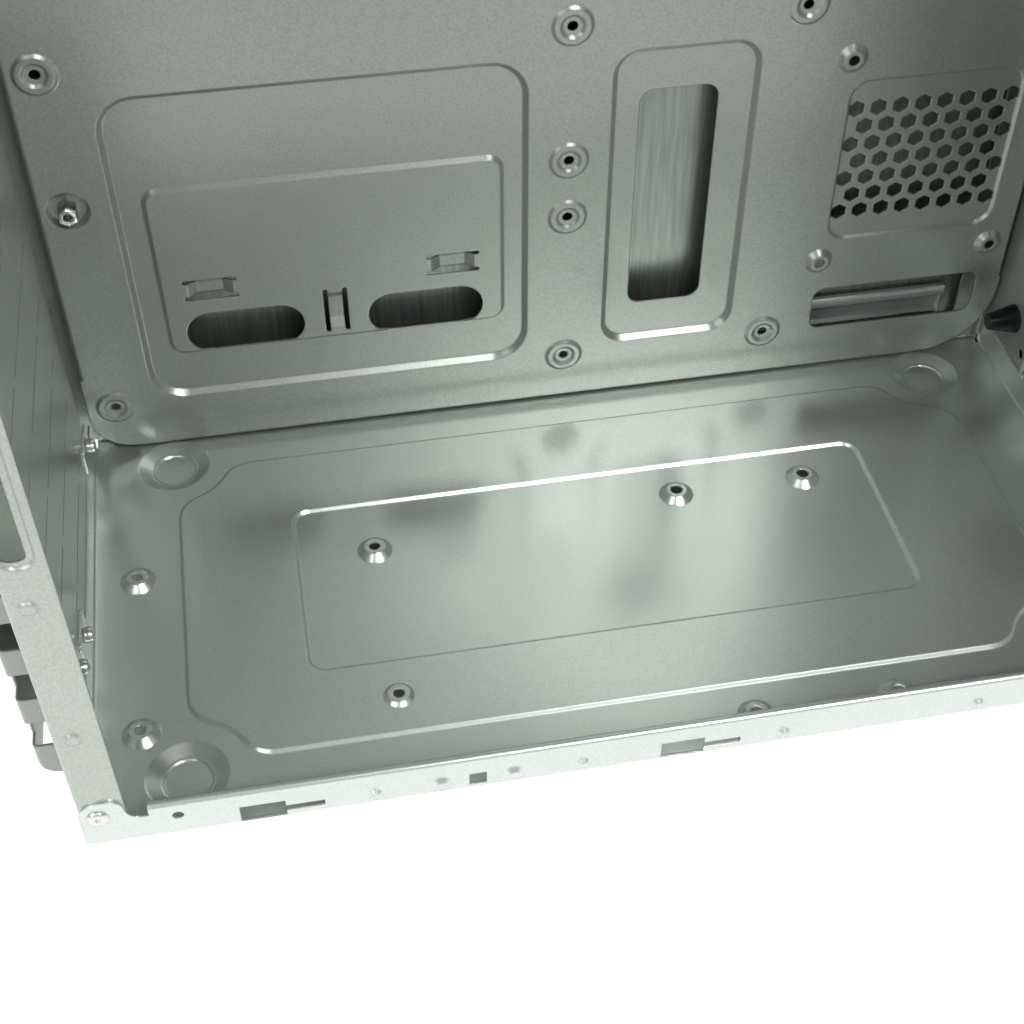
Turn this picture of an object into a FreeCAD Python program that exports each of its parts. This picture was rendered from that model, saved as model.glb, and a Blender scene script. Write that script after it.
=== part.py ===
import FreeCAD, Part
import math
import os

# Mid-tower PC case with its left side panel taken off.
# +X runs from the rear wall to the front bezel, -Y is the open side, +Z is up.
# The origin lies on the ground under the middle of the case.

V = FreeCAD.Vector
TINY = 1e-6
THIN = 0.02

# Sheet metal
SHEET = 0.7
BEND = 0.8
CHASSIS_LENGTH = 329.2
CHASSIS_WIDTH = 169.0
CHASSIS_HEIGHT = 424.0
SEAT_GAP = 0.2

# Folded pans: floor and roof
RAIL_HEIGHT = 14.0
HEM_LEG = 4.0
HEM_START = 18.4
EAR_LENGTH = 12.4
EAR_HEIGHT = 19.0
EAR_ROUND = 6.0
NOTCH_HEIGHT = 10.4
END_FLANGE = 11.5
END_FLANGE_INSET = 5.0
RIVET_TAB_HEIGHT = 20.5
RIVET_TAB_WIDTH = 16.0

# Features along the side rails; the last of a row is measured from the front face, all else from the rear
KEYHOLE_FIRST = 42.7
KEYHOLE_LAST = 44.7
KEYHOLE_COUNT = 3
KEYHOLE_WIDE = 12.8
KEYHOLE_NARROW = 10.9
KEYHOLE_HEIGHT = 6.8
KEYHOLE_SLOT = 2.2
KEYHOLE_LEVEL = 4.4
RAIL_HOLE_PLACE = 26.1
RAIL_HOLE_RADIUS = 1.6
RAIL_HOLE_LEVEL = 8.6
SQUARE_HOLE_PLACE = 110.0
SQUARE_HOLE = 5.0
DOME_PLACES = (99.6, 120.4)
DOME_RADIUS = 3.2
PIP_FIRST = 80.8
PIP_LAST = 69.0
PIP_COUNT = 4
PIP_RADIUS = 2.2
BUMP_HEIGHT = 1.2
BUMP_LEVEL = 4.6

# Pressed forms of the floor
FIELD_REAR = 29.2
FIELD_FRONT = 25.2
FIELD_SIDE = 22.0
FIELD_RISE = 1.0
FIELD_CORNER = 11.0
FOOT_NOTCH = 19.0
INNER_INSET = 66.0
INNER_SIDE = 49.5
INNER_CORNER = 6.0
FOOT_INSET = 28.2
FOOT_SIDE = 18.7
DISH_RADIUS = 12.2
DISH_RUN = 4.2
DISH_DEPTH = 2.1
DISH_CENTRE_RADIUS = 7.4
DISH_CENTRE_DEPTH = 0.5
PAD_RADIUS = 7.0
PAD_HEIGHT = 6.0

# Drive mounting holes
BOSS_RADIUS = 5.5
BOSS_RUN = 2.4
BOSS_HEIGHT = 2.2
SMALL_DRIVE_LENGTH = 76.6
SMALL_DRIVE_WIDTH = 61.72
SMALL_DRIVE_HOLE = 1.75
SMALL_DRIVE_REAR = 15.25
SMALL_DRIVE_SIDE = 35.9
LARGE_DRIVE_LENGTH = 95.25
LARGE_DRIVE_WIDTH = 44.45
LARGE_DRIVE_HOLE = 2.0
LARGE_DRIVE_REAR = 195.6
LARGE_DRIVE_SIDE = 10.15

# Rear wall
POST_WIDTH = 12.7
CORNER_STEP = 6.0
CORNER_STEP_WIDTH = 17.0
SLOT_PITCH = 20.32
SLOT_COUNT = 7
SLOT_LOW = 23.4
SLIT = 0.9
SLIT_TRAY_GAP = 20.0
SLIT_BRIDGE = 4.0
SLIT_BRIDGE_SHARES = (0.178, 0.73)
IO_LENGTH = 158.75
IO_WIDTH = 44.45
IO_TRAY_GAP = 4.0
IO_RISE = 3.0
VENT_RADIUS = 41.0
VENT_PITCH = 10.0
VENT_HEXAGON = 7.2
VENT_Z = 258.0
FAN_HOLE_PITCH = 71.5
FAN_HOLE = 2.2
PSU_HEIGHT = 86.0
PSU_SIDE = 3.5
PSU_TOP_GAP = 2.5
PSU_RIM = 10.0
MOUTH_STEP_GAP = 15.5
MOUTH_CORNER = 3.2
PSU_HOLES = ((6.0, 16.0), (6.0, 80.0), (144.0, 80.0), (120.0, 6.0))
PSU_HOLE = 2.0
POST_WINDOW_LOW = 113.0
POST_WINDOW_LENGTH = 46.0
POST_WINDOW_INSET = 4.2
POST_RIM = 2.2
POST_PIP_LEVELS = (47.0, 98.0)
POST_PIP_INSET = 7.4

# Guard over the slot screws
GUARD_DEPTH = 10.6
GUARD_SIDE = 18.5
GUARD_WIDTH = 26.0
GUARD_FLANGE = 8.0
GUARD_LOW = 11.0
GUARD_ROUND = 6.0
GUARD_WINDOW = 10.5
GUARD_WINDOW_DROP = 5.0
GUARD_WINDOW_WRAP = 5.0

# Motherboard tray; board places are counted from the lowest rear hole
TRAY_BACK = 9.5
TRAY_REAR_GAP = 2.7
TRAY_FRONT_GAP = 2.5
TRAY_UP = 3.4
TRAY_REAR_CORNER = 14.0
TRAY_FRONT_CORNER = 26.0
TRAY_FLANGE_UP = 34.0
TRAY_LIP = 11.0
BOARD_REAR = 12.2
BOARD_UP = 21.4
BOARD_MIDDLE = 154.94
BOARD_FRONT = 227.33
BOARD_ROW_SMALL = 78.74
BOARD_ROW_MIDDLE = 124.46
BOARD_ROW_REAR_TOP = 259.08
BOARD_ROW_TOP = 281.94
BOARD_ROW_EXTRA = 57.64
RING_RADIUS = 6.3
RING_RUN = 1.1
RING_HEIGHT = 0.8
RING_DISH = 4.0
RING_HOLE = 1.6
STANDOFF_DISH_RADIUS = 6.6
STANDOFF_DISH_DEPTH = 2.8
STANDOFF_WIDTH = 5.5
STANDOFF_HEIGHT = 6.5
RECESS_DEPTH = 1.8
RECESS_RUN = 1.8
CABLE_PANEL = (13.0, 142.0, 1.2, 115.0)
CABLE_PANEL_CORNER = 12.0
CABLE_PAD = (22.0, 134.0, 18.8, 82.5)
CABLE_PAD_RISE = 1.4
CABLE_OVAL_LENGTH = 38.5
CABLE_OVAL_HEIGHT = 15.8
CABLE_OVALS = ((47.45, 26.7), (107.4, 26.4))
TIE_LENGTH = 17.5
TIE_PITCH = 6.4
TIE_SLOT = 1.5
TIE_DEPTH = 2.3
TIE_RUN = 3.2
TIE_PLACES = ((38.1, 44.1), (117.0, 43.9))
UPRIGHT_TIE_PLACE = (77.6, 30.2)
CABLE_PAD_CORNER = 5.0
WINDOW_PANEL_REAR_GAP = 13.0
WINDOW_PANEL_FRONT_GAP = 29.1
WINDOW_PANEL_LEVELS = (3.0, 115.0)
WINDOW_PANEL_CORNER_SHARE = 0.19
WINDOW_SHARES = (0.2, 0.735)
WINDOW_LEVELS = (18.0, 100.0)
WINDOW_CORNER_SHARE = 0.1
TRAY_DRIVE_INSET = 8.65
TRAY_DRIVE_UP = 28.5
TRAY_BOSS_HEIGHT = 1.8
TRAY_BOSS_RADIUS = 4.6
VENT_PANEL_LENGTH = 59.4
VENT_PANEL_LEVELS = (36.5, 97.0)
VENT_PANEL_CORNER = 7.0
VENT_PANEL_DEPTH = 1.0
TRAY_HEX_PITCH = 7.5
TRAY_HEXAGON = 5.1
TRAY_HEX_UP = 47.3
TRAY_HEX_COUNT = 8
TRAY_HEX_ROWS = 7
LOWER_WINDOW_LENGTH = 60.8
LOWER_WINDOW_LEVELS = (-1.4, 16.0)
LOWER_WINDOW_CORNER = 4.0
COOLER_WINDOW = (24.0, 132.0, 150.0, 262.0)
COOLER_WINDOW_CORNER = 10.0

# Front wall
FAN_BORE = 55.0
FAN_BOLT_PITCH = 105.0
FAN_LEVELS = (92.0, 222.0)
CABLE_PORT_HALF_WIDTH = 45.0
CABLE_PORT_HEIGHT = 44.0
CABLE_PORT_DROP = 51.3
CABLE_PORT_CORNER = 8.0
CLIP_SIDE = 23.1
CLIP_LOW = 25.0
CLIP_BOARD_GAP = 30.0
CLIP_NECK = 2.8
CLIP_BASE = 5.2
CLIP_TIP = 2.9
CLIP_LENGTH = 10.0
CLIP_POST = 4.5
SIDE_HOLE = 1.7
SIDE_HOLE_SIDE = 32.8
SIDE_HOLE_LEVEL = 16.6

# Front bezel with its controls
BEZEL_DEPTH = 38.0
BEZEL_MARGIN = 3.0
BEZEL_WALL = 3.0
BEZEL_CORNER = 14.0
BEZEL_LOW = 2.0
BEZEL_OVER = 2.0
LOUVRE_LENGTH = 16.0
LOUVRE_HEIGHT = 4.0
LOUVRE_PITCH = 14.0
LOUVRE_COUNT = 16
LOUVRE_LOW = 96.0
INLET_LENGTH = 14.0
CONTROL_DROP = 34.0
CONTROL_SIDE = 12.5
CONTROL_HALF_HEIGHT = 13.0
CONTROL_DEPTH = 1.2
RUN_GAP = 0.3
BUTTON_PROUD = 1.0
BUTTON_TRAVEL = 1.5
POWER_RADIUS = 8.0
POWER_Y = 56.0
RESET_RADIUS = 4.0
RESET_Y = 34.0
COLLAR = 1.5
COLLAR_THICK = 1.2
STEM_RADIUS = 1.5
STEM_REACH = 1.2
SWITCH_WIDTH = 8.0
SWITCH_DEPTH = 5.0
SWITCH_BORE = 4.0
LIGHT_RADIUS = 1.5
LIGHT_PLACES = (20.0, 12.0)
JACK_RADIUS = 3.6
JACK_BORE = 1.75
JACK_PLACES = (-10.0, -26.0)
USB_WIDTH = 13.0
USB_HEIGHT = 5.6
USB_WALL = 0.4
USB_CAVITY = 9.0
USB_TONGUE = 1.8
USB_TONGUE_GAP = 0.8
USB_PLACES = (-43.0, -61.0)
IO_BOARD_THICK = 1.6
IO_BOARD_BACK = 15.0
IO_BOARD_HALF_HEIGHT = 15.0
IO_SCREW_INSET = 4.0
IO_BOSS_RADIUS = 3.0
IO_BOSS_BORE = 1.2
IO_SCREW_HEAD = 2.6
IO_SCREW_HEAD_HEIGHT = 1.6
IO_SCREW_RADIUS = 1.0
IO_SCREW_LENGTH = 6.0

# Right side panel
PANEL_GAP = 1.4
PANEL_FRONT_GAP = 0.5
PANEL_EDGE_GAP = 0.6
PANEL_LIP = 15.0
PANEL_REAR_GAP = 0.2
HOOK_LENGTH = 9.0
HOOK_HEIGHT = 5.4
HOOK_BACK = 0.5
PANEL_SCREW_END = 62.0
PANEL_SCREW_HEAD = 4.0
PANEL_SCREW_HEAD_HEIGHT = 2.4
PANEL_SCREW_RADIUS = 1.6
PANEL_SCREW_LENGTH = 6.0
PANEL_SCREW_INSET = 9.0

# Rivets and the ledge under the power supply
RIVET_RADIUS = 1.6
RIVET_HEAD = 3.1
RIVET_CROWN = 1.9
RIVET_HEAD_HEIGHT = 1.1
RIVET_TAIL = 2.4
RIVET_TAIL_LENGTH = 3.2
RIVET_CLEAR = 0.15
CORNER_RIVET_INSET = 5.0
CORNER_RIVET_LEVEL = 12.0
END_RIVET_LEVEL = 16.0
REAR_RIVET_TRAY_GAP = 12.0
REAR_RIVET_GUARD_GAP = 11.0
FRONT_RIVET_SIDE = 44.5
TRAY_RIVET_END = 60.0
TRAY_RIVET_INSET = 6.0
LEDGE_LENGTH = 120.0
LEDGE_REAR = 25.0
LEDGE_DEPTH = 24.0
LEDGE_LEG = 14.0
LEDGE_RIVET_INSET = 15.0

# Places that follow from the sizes
DISH_TOTAL = DISH_DEPTH + DISH_CENTRE_DEPTH
TOTAL_LENGTH = GUARD_DEPTH + CHASSIS_LENGTH + BEZEL_DEPTH
REAR = GUARD_DEPTH - TOTAL_LENGTH / 2
FRONT = REAR + CHASSIS_LENGTH
MIDDLE = (REAR + FRONT) / 2
NEAR = -CHASSIS_WIDTH / 2
FAR = CHASSIS_WIDTH / 2
UNDER = PAD_HEIGHT + DISH_TOTAL
FLOOR = UNDER + SHEET
ROOF = UNDER + CHASSIS_HEIGHT
MID_HEIGHT = (UNDER + ROOF) / 2
KEYHOLE_PITCH = (CHASSIS_LENGTH - KEYHOLE_FIRST - KEYHOLE_LAST) / (KEYHOLE_COUNT - 1)
PIP_PITCH = (CHASSIS_LENGTH - PIP_FIRST - PIP_LAST) / (PIP_COUNT - 1)
FIELD_HALF_WIDTH = FAR - FIELD_SIDE
INNER_HALF_WIDTH = FAR - INNER_SIDE
FOOT_HALF_PITCH = FAR - FOOT_SIDE
FOLD = BEND + SHEET
HEM = 2 * FOLD
TRAY = FAR - TRAY_BACK
TRAY_REAR = REAR + TRAY_REAR_GAP
TRAY_FRONT = FRONT - TRAY_FRONT_GAP
TRAY_LOW = FLOOR + TRAY_UP
TRAY_HIGH = ROOF - SHEET - TRAY_UP
BOARD_X = REAR + BOARD_REAR
BOARD_Z = FLOOR + BOARD_UP
STEP_Y = FAR - CORNER_STEP_WIDTH
FACE = FRONT + BEZEL_DEPTH
CONTROL_FACE = FACE - CONTROL_DEPTH
BEZEL_INNER = FACE - BEZEL_WALL
CONTROL_Z = ROOF - CONTROL_DROP
BOARD_FACE = FACE - IO_BOARD_BACK
SWITCH_FACE = BOARD_FACE + SWITCH_DEPTH
PANEL_INNER = FAR + PANEL_GAP
PANEL_OUTER = PANEL_INNER + SHEET
LIP_INNER = REAR - CORNER_STEP - PANEL_REAR_GAP
LIP_OUTER = LIP_INNER - SHEET
PSU_LOW = ROOF - SHEET - PSU_TOP_GAP - PSU_HEIGHT
SLOT_HIGH = FLOOR + SLOT_LOW + SLOT_COUNT * SLOT_PITCH
GUARD_NEAR = NEAR + GUARD_SIDE
GUARD_HIGH = SLOT_HIGH + BEND
SLIT_NEAR = GUARD_NEAR + GUARD_WIDTH + GUARD_FLANGE
SLIT_FAR = TRAY - SLIT_TRAY_GAP
IO_FAR = TRAY - IO_TRAY_GAP
IO_NEAR = IO_FAR - IO_WIDTH
VENT_Y = (NEAR + IO_NEAR) / 2
PSU_NEAR = NEAR + PSU_SIDE
TRAY_DRIVE_FRONT = TRAY_FRONT - TRAY_DRIVE_INSET
TRAY_DRIVE_REAR = TRAY_DRIVE_FRONT - SMALL_DRIVE_WIDTH
TRAY_DRIVE_MIDDLE = (TRAY_DRIVE_FRONT + TRAY_DRIVE_REAR) / 2
CONTROL_HALF_LENGTH = FAR - CONTROL_SIDE
CLIP_HALF_PITCH = FAR - CLIP_SIDE
CLIP_LOWEST = FLOOR + CLIP_LOW
CLIP_HIGHEST = CONTROL_Z - IO_BOARD_HALF_HEIGHT - CLIP_BOARD_GAP
SIDE_HOLE_HALF_PITCH = FAR - SIDE_HOLE_SIDE
REAR_RIVET_PLACES = [TRAY - REAR_RIVET_TRAY_GAP, SLIT_NEAR + REAR_RIVET_GUARD_GAP]
FRONT_RIVET_PLACES = [FAR - FRONT_RIVET_SIDE, NEAR + FRONT_RIVET_SIDE]
TRAY_RIVET_LEVELS = (UNDER + TRAY_RIVET_END, MID_HEIGHT, ROOF - TRAY_RIVET_END)
PANEL_SCREW_LEVELS = (UNDER + PANEL_SCREW_END, ROOF - PANEL_SCREW_END)


def box(x0, x1, y0, y1, z0, z1):
    """Block between two corners."""
    return Part.makeBox(x1 - x0, y1 - y0, z1 - z0, V(x0, y0, z0))


def rod(radius, start, axis, length):
    """Round bar from a start point along an axis."""
    return Part.makeCylinder(radius, length, start, axis)


def trace(start, steps):
    """Wire from a start point; a point ends a straight run, a pair of points an arc."""
    edges = []
    here = start
    for step in steps:
        if isinstance(step, tuple):
            edges.append(Part.Arc(here, step[0], step[1]).toShape())
            here = step[1]
        elif here.distanceToPoint(step) > TINY:
            edges.append(Part.LineSegment(here, step).toShape())
            here = step
    return Part.Wire(edges)


def bent_sheet(points, side, place, travel):
    """Sheet folded along the points of one skin; side is +1 where it lies to their left."""
    skin = [points[0]]
    back = []
    heading = (points[1] - points[0]).normalize()
    back.append(points[0] + V(-heading.y, heading.x, 0) * side * SHEET)
    for before, corner, after in zip(points, points[1:], points[2:]):
        come = (corner - before).normalize()
        leave = (after - corner).normalize()
        turn = 1 if come.x * leave.y - come.y * leave.x > 0 else -1
        outer, inner = (FOLD, BEND) if turn == side else (BEND, FOLD)
        reach = outer * math.tan(come.getAngle(leave) / 2)
        first = corner - come * reach
        last = corner + leave * reach
        centre = first + V(-come.y, come.x, 0) * turn * outer
        out = (corner - centre).normalize()
        skin += [first, (centre + out * outer, last)]
        first_back = first + V(-come.y, come.x, 0) * side * SHEET
        last_back = last + V(-leave.y, leave.x, 0) * side * SHEET
        back += [first_back, (centre + out * inner, last_back)]
    heading = (points[-1] - points[-2]).normalize()
    skin.append(points[-1])
    back.append(points[-1] + V(-heading.y, heading.x, 0) * side * SHEET)
    steps = skin[1:] + reverse_steps(back)
    steps.append(points[0])
    placed = [tuple(place(p) for p in s) if isinstance(s, tuple) else place(s) for s in steps]
    return Part.Face(trace(place(points[0]), placed)).extrude(travel)


def reverse_steps(path):
    """The same runs and arcs, walked from the last point to the first."""
    steps = []
    ends = [s[1] if isinstance(s, tuple) else s for s in path]
    steps.append(ends[-1])
    for index in range(len(path) - 1, 0, -1):
        step = path[index]
        steps.append((step[0], ends[index - 1]) if isinstance(step, tuple) else ends[index - 1])
    return steps


def rounded(x0, x1, y0, y1, radius):
    """Rounded rectangle, as an outline that can be drawn in and set at a height."""
    def outline(inset, z):
        left, right, low, high = x0 + inset, x1 - inset, y0 + inset, y1 - inset
        r = max(radius - inset, THIN)
        k = r * (1 - math.sqrt(0.5))
        steps = [
            V(right - r, low, z), (V(right - k, low + k, z), V(right, low + r, z)),
            V(right, high - r, z), (V(right - k, high - k, z), V(right - r, high, z)),
            V(left + r, high, z), (V(left + k, high - k, z), V(left, high - r, z)),
            V(left, low + r, z), (V(left + k, low + k, z), V(left + r, low, z)),
        ]
        return trace(V(left + r, low, z), steps)
    return outline


def disc(x, y, radius):
    """Circle, as an outline that can be drawn in and set at a height."""
    def outline(inset, z):
        return Part.Wire([Part.makeCircle(radius - inset, V(x, y, z))])
    return outline


def hexagon(x, y, across):
    """Hexagon with two upright flats."""
    radius = across / math.sqrt(3)
    def outline(inset, z):
        corners = [math.radians(30 + 60 * k) for k in range(7)]
        points = [V(x + radius * math.cos(a), y + radius * math.sin(a), z) for a in corners]
        return Part.makePolygon(points)
    return outline


def prism(outline, low, high, placement=None):
    """Straight solid on an outline, moved by the placement."""
    solid = Part.Face(outline(0, low)).extrude(V(0, 0, high - low))
    if placement:
        solid.Placement = placement
    return solid


def press(sheet, forms, placement=None):
    """Presses forms into a flat sheet; each gives its outline, the sheet's lower face, depth and run."""
    swells = []
    hollows = []
    spread = SHEET * (math.sqrt(2) - 1)
    for outline, low, depth, run in forms:
        hollow, crown = (low, low + SHEET) if depth > 0 else (low + SHEET, low)
        swell = [outline(-spread, crown), outline(run - spread, crown + depth)]
        cavity = [outline(0, hollow), outline(run, hollow + depth)]
        swells.append(Part.makeLoft(swell, True, True))
        hollows.append(Part.makeLoft(cavity, True, True))
    for solid in swells + hollows:
        if placement:
            solid.Placement = placement
    return sheet.multiFuse(swells).cut(hollows)


def facing_open_side(y):
    """Placement of a flat form whose height runs towards the open side from y."""
    return FreeCAD.Placement(V(0, y, 0), FreeCAD.Rotation(V(1, 0, 0), 90))


def facing_front(x):
    """Placement of a flat form drawn in Y and Z, whose height runs to the front from x."""
    turned = FreeCAD.Rotation(V(0, 1, 0), V(0, 0, 1), V(1, 0, 0), "XYZ")
    return FreeCAD.Placement(V(x, 0, 0), turned)


def both_sides(shapes):
    """The shapes and their mirror images across the middle of the width."""
    return shapes + [shape.mirror(V(0, 0, 0), V(0, 1, 0)) for shape in shapes]


def both_ends(shapes):
    """The shapes and their mirror images across the middle of the length."""
    return shapes + [shape.mirror(V(MIDDLE, 0, 0), V(1, 0, 0)) for shape in shapes]


def floor_and_roof(shape):
    """A shape at the floor and its mirror image at the roof."""
    return [shape, shape.mirror(V(0, 0, MID_HEIGHT), V(0, 0, 1))]


def rivet(start, axis):
    """Blind rivet through two sheets, with its head outside the start point."""
    crown = start - axis * RIVET_HEAD_HEIGHT
    head = Part.makeCone(RIVET_CROWN, RIVET_HEAD, RIVET_HEAD_HEIGHT, crown, axis)
    shank = rod(RIVET_RADIUS, start, axis, 2 * SHEET)
    tail = rod(RIVET_TAIL, start + axis * 2 * SHEET, axis, RIVET_TAIL_LENGTH)
    return head.fuse([shank, tail])


def rivet_hole(start, axis):
    """Clearance hole for a rivet, long enough to pass both sheets."""
    return rod(RIVET_RADIUS + RIVET_CLEAR, start - axis * FOLD, axis, 2 * FOLD + 2 * SHEET)


def end_rivet_places(inset_y, x, axis):
    """Start points and axes of the rivets along the end flanges of floor and roof."""
    levels = (FLOOR + END_RIVET_LEVEL, ROOF - SHEET - END_RIVET_LEVEL)
    return [(V(x, y, z), axis) for y in inset_y for z in levels]


REAR_RIVETS = end_rivet_places(REAR_RIVET_PLACES, REAR, V(1, 0, 0))
FRONT_RIVETS = end_rivet_places(FRONT_RIVET_PLACES, FRONT, V(-1, 0, 0))
CORNER_RIVETS = [
    (V(x, y, z), V(0, -math.copysign(1, y), 0))
    for x in (REAR + CORNER_RIVET_INSET, FRONT - CORNER_RIVET_INSET)
    for y in (NEAR, FAR)
    for z in (FLOOR + CORNER_RIVET_LEVEL, ROOF - SHEET - CORNER_RIVET_LEVEL)
]
TRAY_RIVETS = [
    (V(x, FAR - SHEET, level), V(0, -1, 0))
    for x in (TRAY_REAR + TRAY_RIVET_INSET, TRAY_FRONT - TRAY_RIVET_INSET)
    for level in TRAY_RIVET_LEVELS
]
GUARD_RIVETS = [
    (V(REAR - SHEET, y, z), V(1, 0, 0))
    for y in (GUARD_NEAR - GUARD_FLANGE / 2, GUARD_NEAR + GUARD_WIDTH + GUARD_FLANGE / 2)
    for z in (FLOOR + GUARD_LOW + GUARD_FLANGE, GUARD_HIGH - GUARD_FLANGE)
]
LEDGE_RIVETS = [
    (V(BOARD_X + LEDGE_REAR + along, TRAY - SHEET, PSU_LOW - LEDGE_LEG / 2), V(0, 1, 0))
    for along in (LEDGE_RIVET_INSET, LEDGE_LENGTH - LEDGE_RIVET_INSET)
]


def holes_for(rivets):
    """Clearance holes of a list of rivets."""
    return [rivet_hole(start, axis) for start, axis in rivets]


def rivet_group(rivets):
    """Separate rivets of one kind."""
    return Part.Compound([rivet(start, axis) for start, axis in rivets])


def keyhole_starts():
    """Rear ends of the keyholes along a rail."""
    return [REAR + KEYHOLE_FIRST + KEYHOLE_PITCH * k for k in range(KEYHOLE_COUNT)]


def rail_cuts():
    """Keyholes, round hole and square hole of the near rail of the floor."""
    level = UNDER + KEYHOLE_LEVEL
    y0, y1 = NEAR - SHEET, NEAR + 2 * SHEET
    cuts = []
    for start in keyhole_starts():
        bend = start + KEYHOLE_WIDE
        end = bend + KEYHOLE_NARROW
        cuts.append(box(start, bend, y0, y1, level - KEYHOLE_HEIGHT / 2, level + KEYHOLE_HEIGHT / 2))
        cuts.append(box(bend - SHEET, end, y0, y1, level - KEYHOLE_SLOT / 2, level + KEYHOLE_SLOT / 2))
    square = REAR + SQUARE_HOLE_PLACE
    half = SQUARE_HOLE / 2
    bump = UNDER + BUMP_LEVEL
    cuts.append(box(square - half, square + half, y0, y1, bump - half, bump + half))
    hole = V(REAR + RAIL_HOLE_PLACE, y0, UNDER + RAIL_HOLE_LEVEL)
    cuts.append(rod(RAIL_HOLE_RADIUS, hole, V(0, 1, 0), y1 - y0))
    return cuts


def rail_bumps():
    """Outward domes and smaller pips of a rail, as crowns and hollows."""
    level = UNDER + BUMP_LEVEL
    places = [(REAR + x, DOME_RADIUS) for x in DOME_PLACES]
    places += [(REAR + PIP_FIRST + PIP_PITCH * k, PIP_RADIUS) for k in range(PIP_COUNT)]
    crowns = []
    hollows = []
    for x, radius in places:
        outside = V(x, NEAR, level)
        inside = V(x, NEAR + SHEET, level)
        skin = SHEET / 2
        crowns.append(Part.makeCone(radius, radius / 2, BUMP_HEIGHT, outside, V(0, -1, 0)))
        hollows.append(Part.makeCone(radius - skin, radius / 2 - skin, BUMP_HEIGHT, inside, V(0, -1, 0)))
    return crowns, hollows


def ear():
    """Rounded ear at the rear end of the near rail, which laps over the rear post."""
    end = REAR + EAR_LENGTH
    slope = (EAR_HEIGHT - NOTCH_HEIGHT) / 2
    base = UNDER + FOLD
    top = UNDER + EAR_HEIGHT
    dip = UNDER + NOTCH_HEIGHT
    k = EAR_ROUND * (1 - math.sqrt(0.5))
    bow = slope * (1 - math.sqrt(0.5))
    steps = [
        V(REAR + HEM_START, NEAR, base), V(REAR + HEM_START, NEAR, dip), V(end + slope, NEAR, dip),
        (V(end + bow, NEAR, dip + bow), V(end, NEAR, dip + slope)),
        (V(end - bow, NEAR, top - bow), V(end - slope, NEAR, top)),
        V(REAR + EAR_ROUND, NEAR, top), (V(REAR + k, NEAR, top - k), V(REAR, NEAR, top - EAR_ROUND)),
        V(REAR, NEAR, base),
    ]
    return Part.Face(trace(V(REAR, NEAR, base), steps)).extrude(V(0, SHEET, 0))


def end_flange(tab_places):
    """Upright flange across the rear end of the floor, with taller tabs for the rivets."""
    x = REAR + SHEET
    points = [V(x, UNDER + END_FLANGE, 0), V(x, UNDER, 0), V(x + HEM, UNDER, 0)]
    inset = END_FLANGE_INSET
    place = lambda p: V(p.x, NEAR + inset, p.y)
    flange = bent_sheet(points, 1, place, V(0, CHASSIS_WIDTH - 2 * inset, 0))
    tabs = []
    for y in tab_places:
        half = RIVET_TAB_WIDTH / 2
        shape = rounded(y - half, y + half, FLOOR + FOLD, UNDER + RIVET_TAB_HEIGHT, FOLD)
        tabs.append(prism(shape, 0, SHEET, facing_front(x)))
    return flange.multiFuse(tabs)


def folded_pan():
    """Plain pan of floor or roof: sheet, hemmed rails with their holes, ears and end flanges."""
    start = REAR + SHEET + FOLD
    rail = UNDER + RAIL_HEIGHT
    points = [
        V(NEAR + HEM, rail - HEM_LEG, 0), V(NEAR + HEM, rail, 0), V(NEAR, rail, 0), V(NEAR, UNDER, 0),
        V(FAR, UNDER, 0), V(FAR, rail, 0), V(FAR - HEM, rail, 0), V(FAR - HEM, rail - HEM_LEG, 0),
    ]
    pan = bent_sheet(points, 1, lambda p: V(start, p.x, p.y), V(2 * (MIDDLE - start), 0, 0))
    hem_end = box(REAR, REAR + HEM_START, NEAR - SHEET, NEAR + HEM + SHEET, UNDER + FOLD, rail + SHEET)
    pan = pan.cut(both_ends(both_sides([hem_end])))
    flanges = [end_flange(REAR_RIVET_PLACES)]
    flanges.append(end_flange(FRONT_RIVET_PLACES).mirror(V(MIDDLE, 0, 0), V(1, 0, 0)))
    pan = pan.multiFuse(flanges + both_ends(both_sides([ear()])))
    crowns, hollows = rail_bumps()
    pan = pan.multiFuse(both_sides(crowns))
    cuts = both_sides(hollows + rail_cuts())
    cuts += holes_for(CORNER_RIVETS + REAR_RIVETS + FRONT_RIVETS)
    return pan.cut(cuts)


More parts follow.
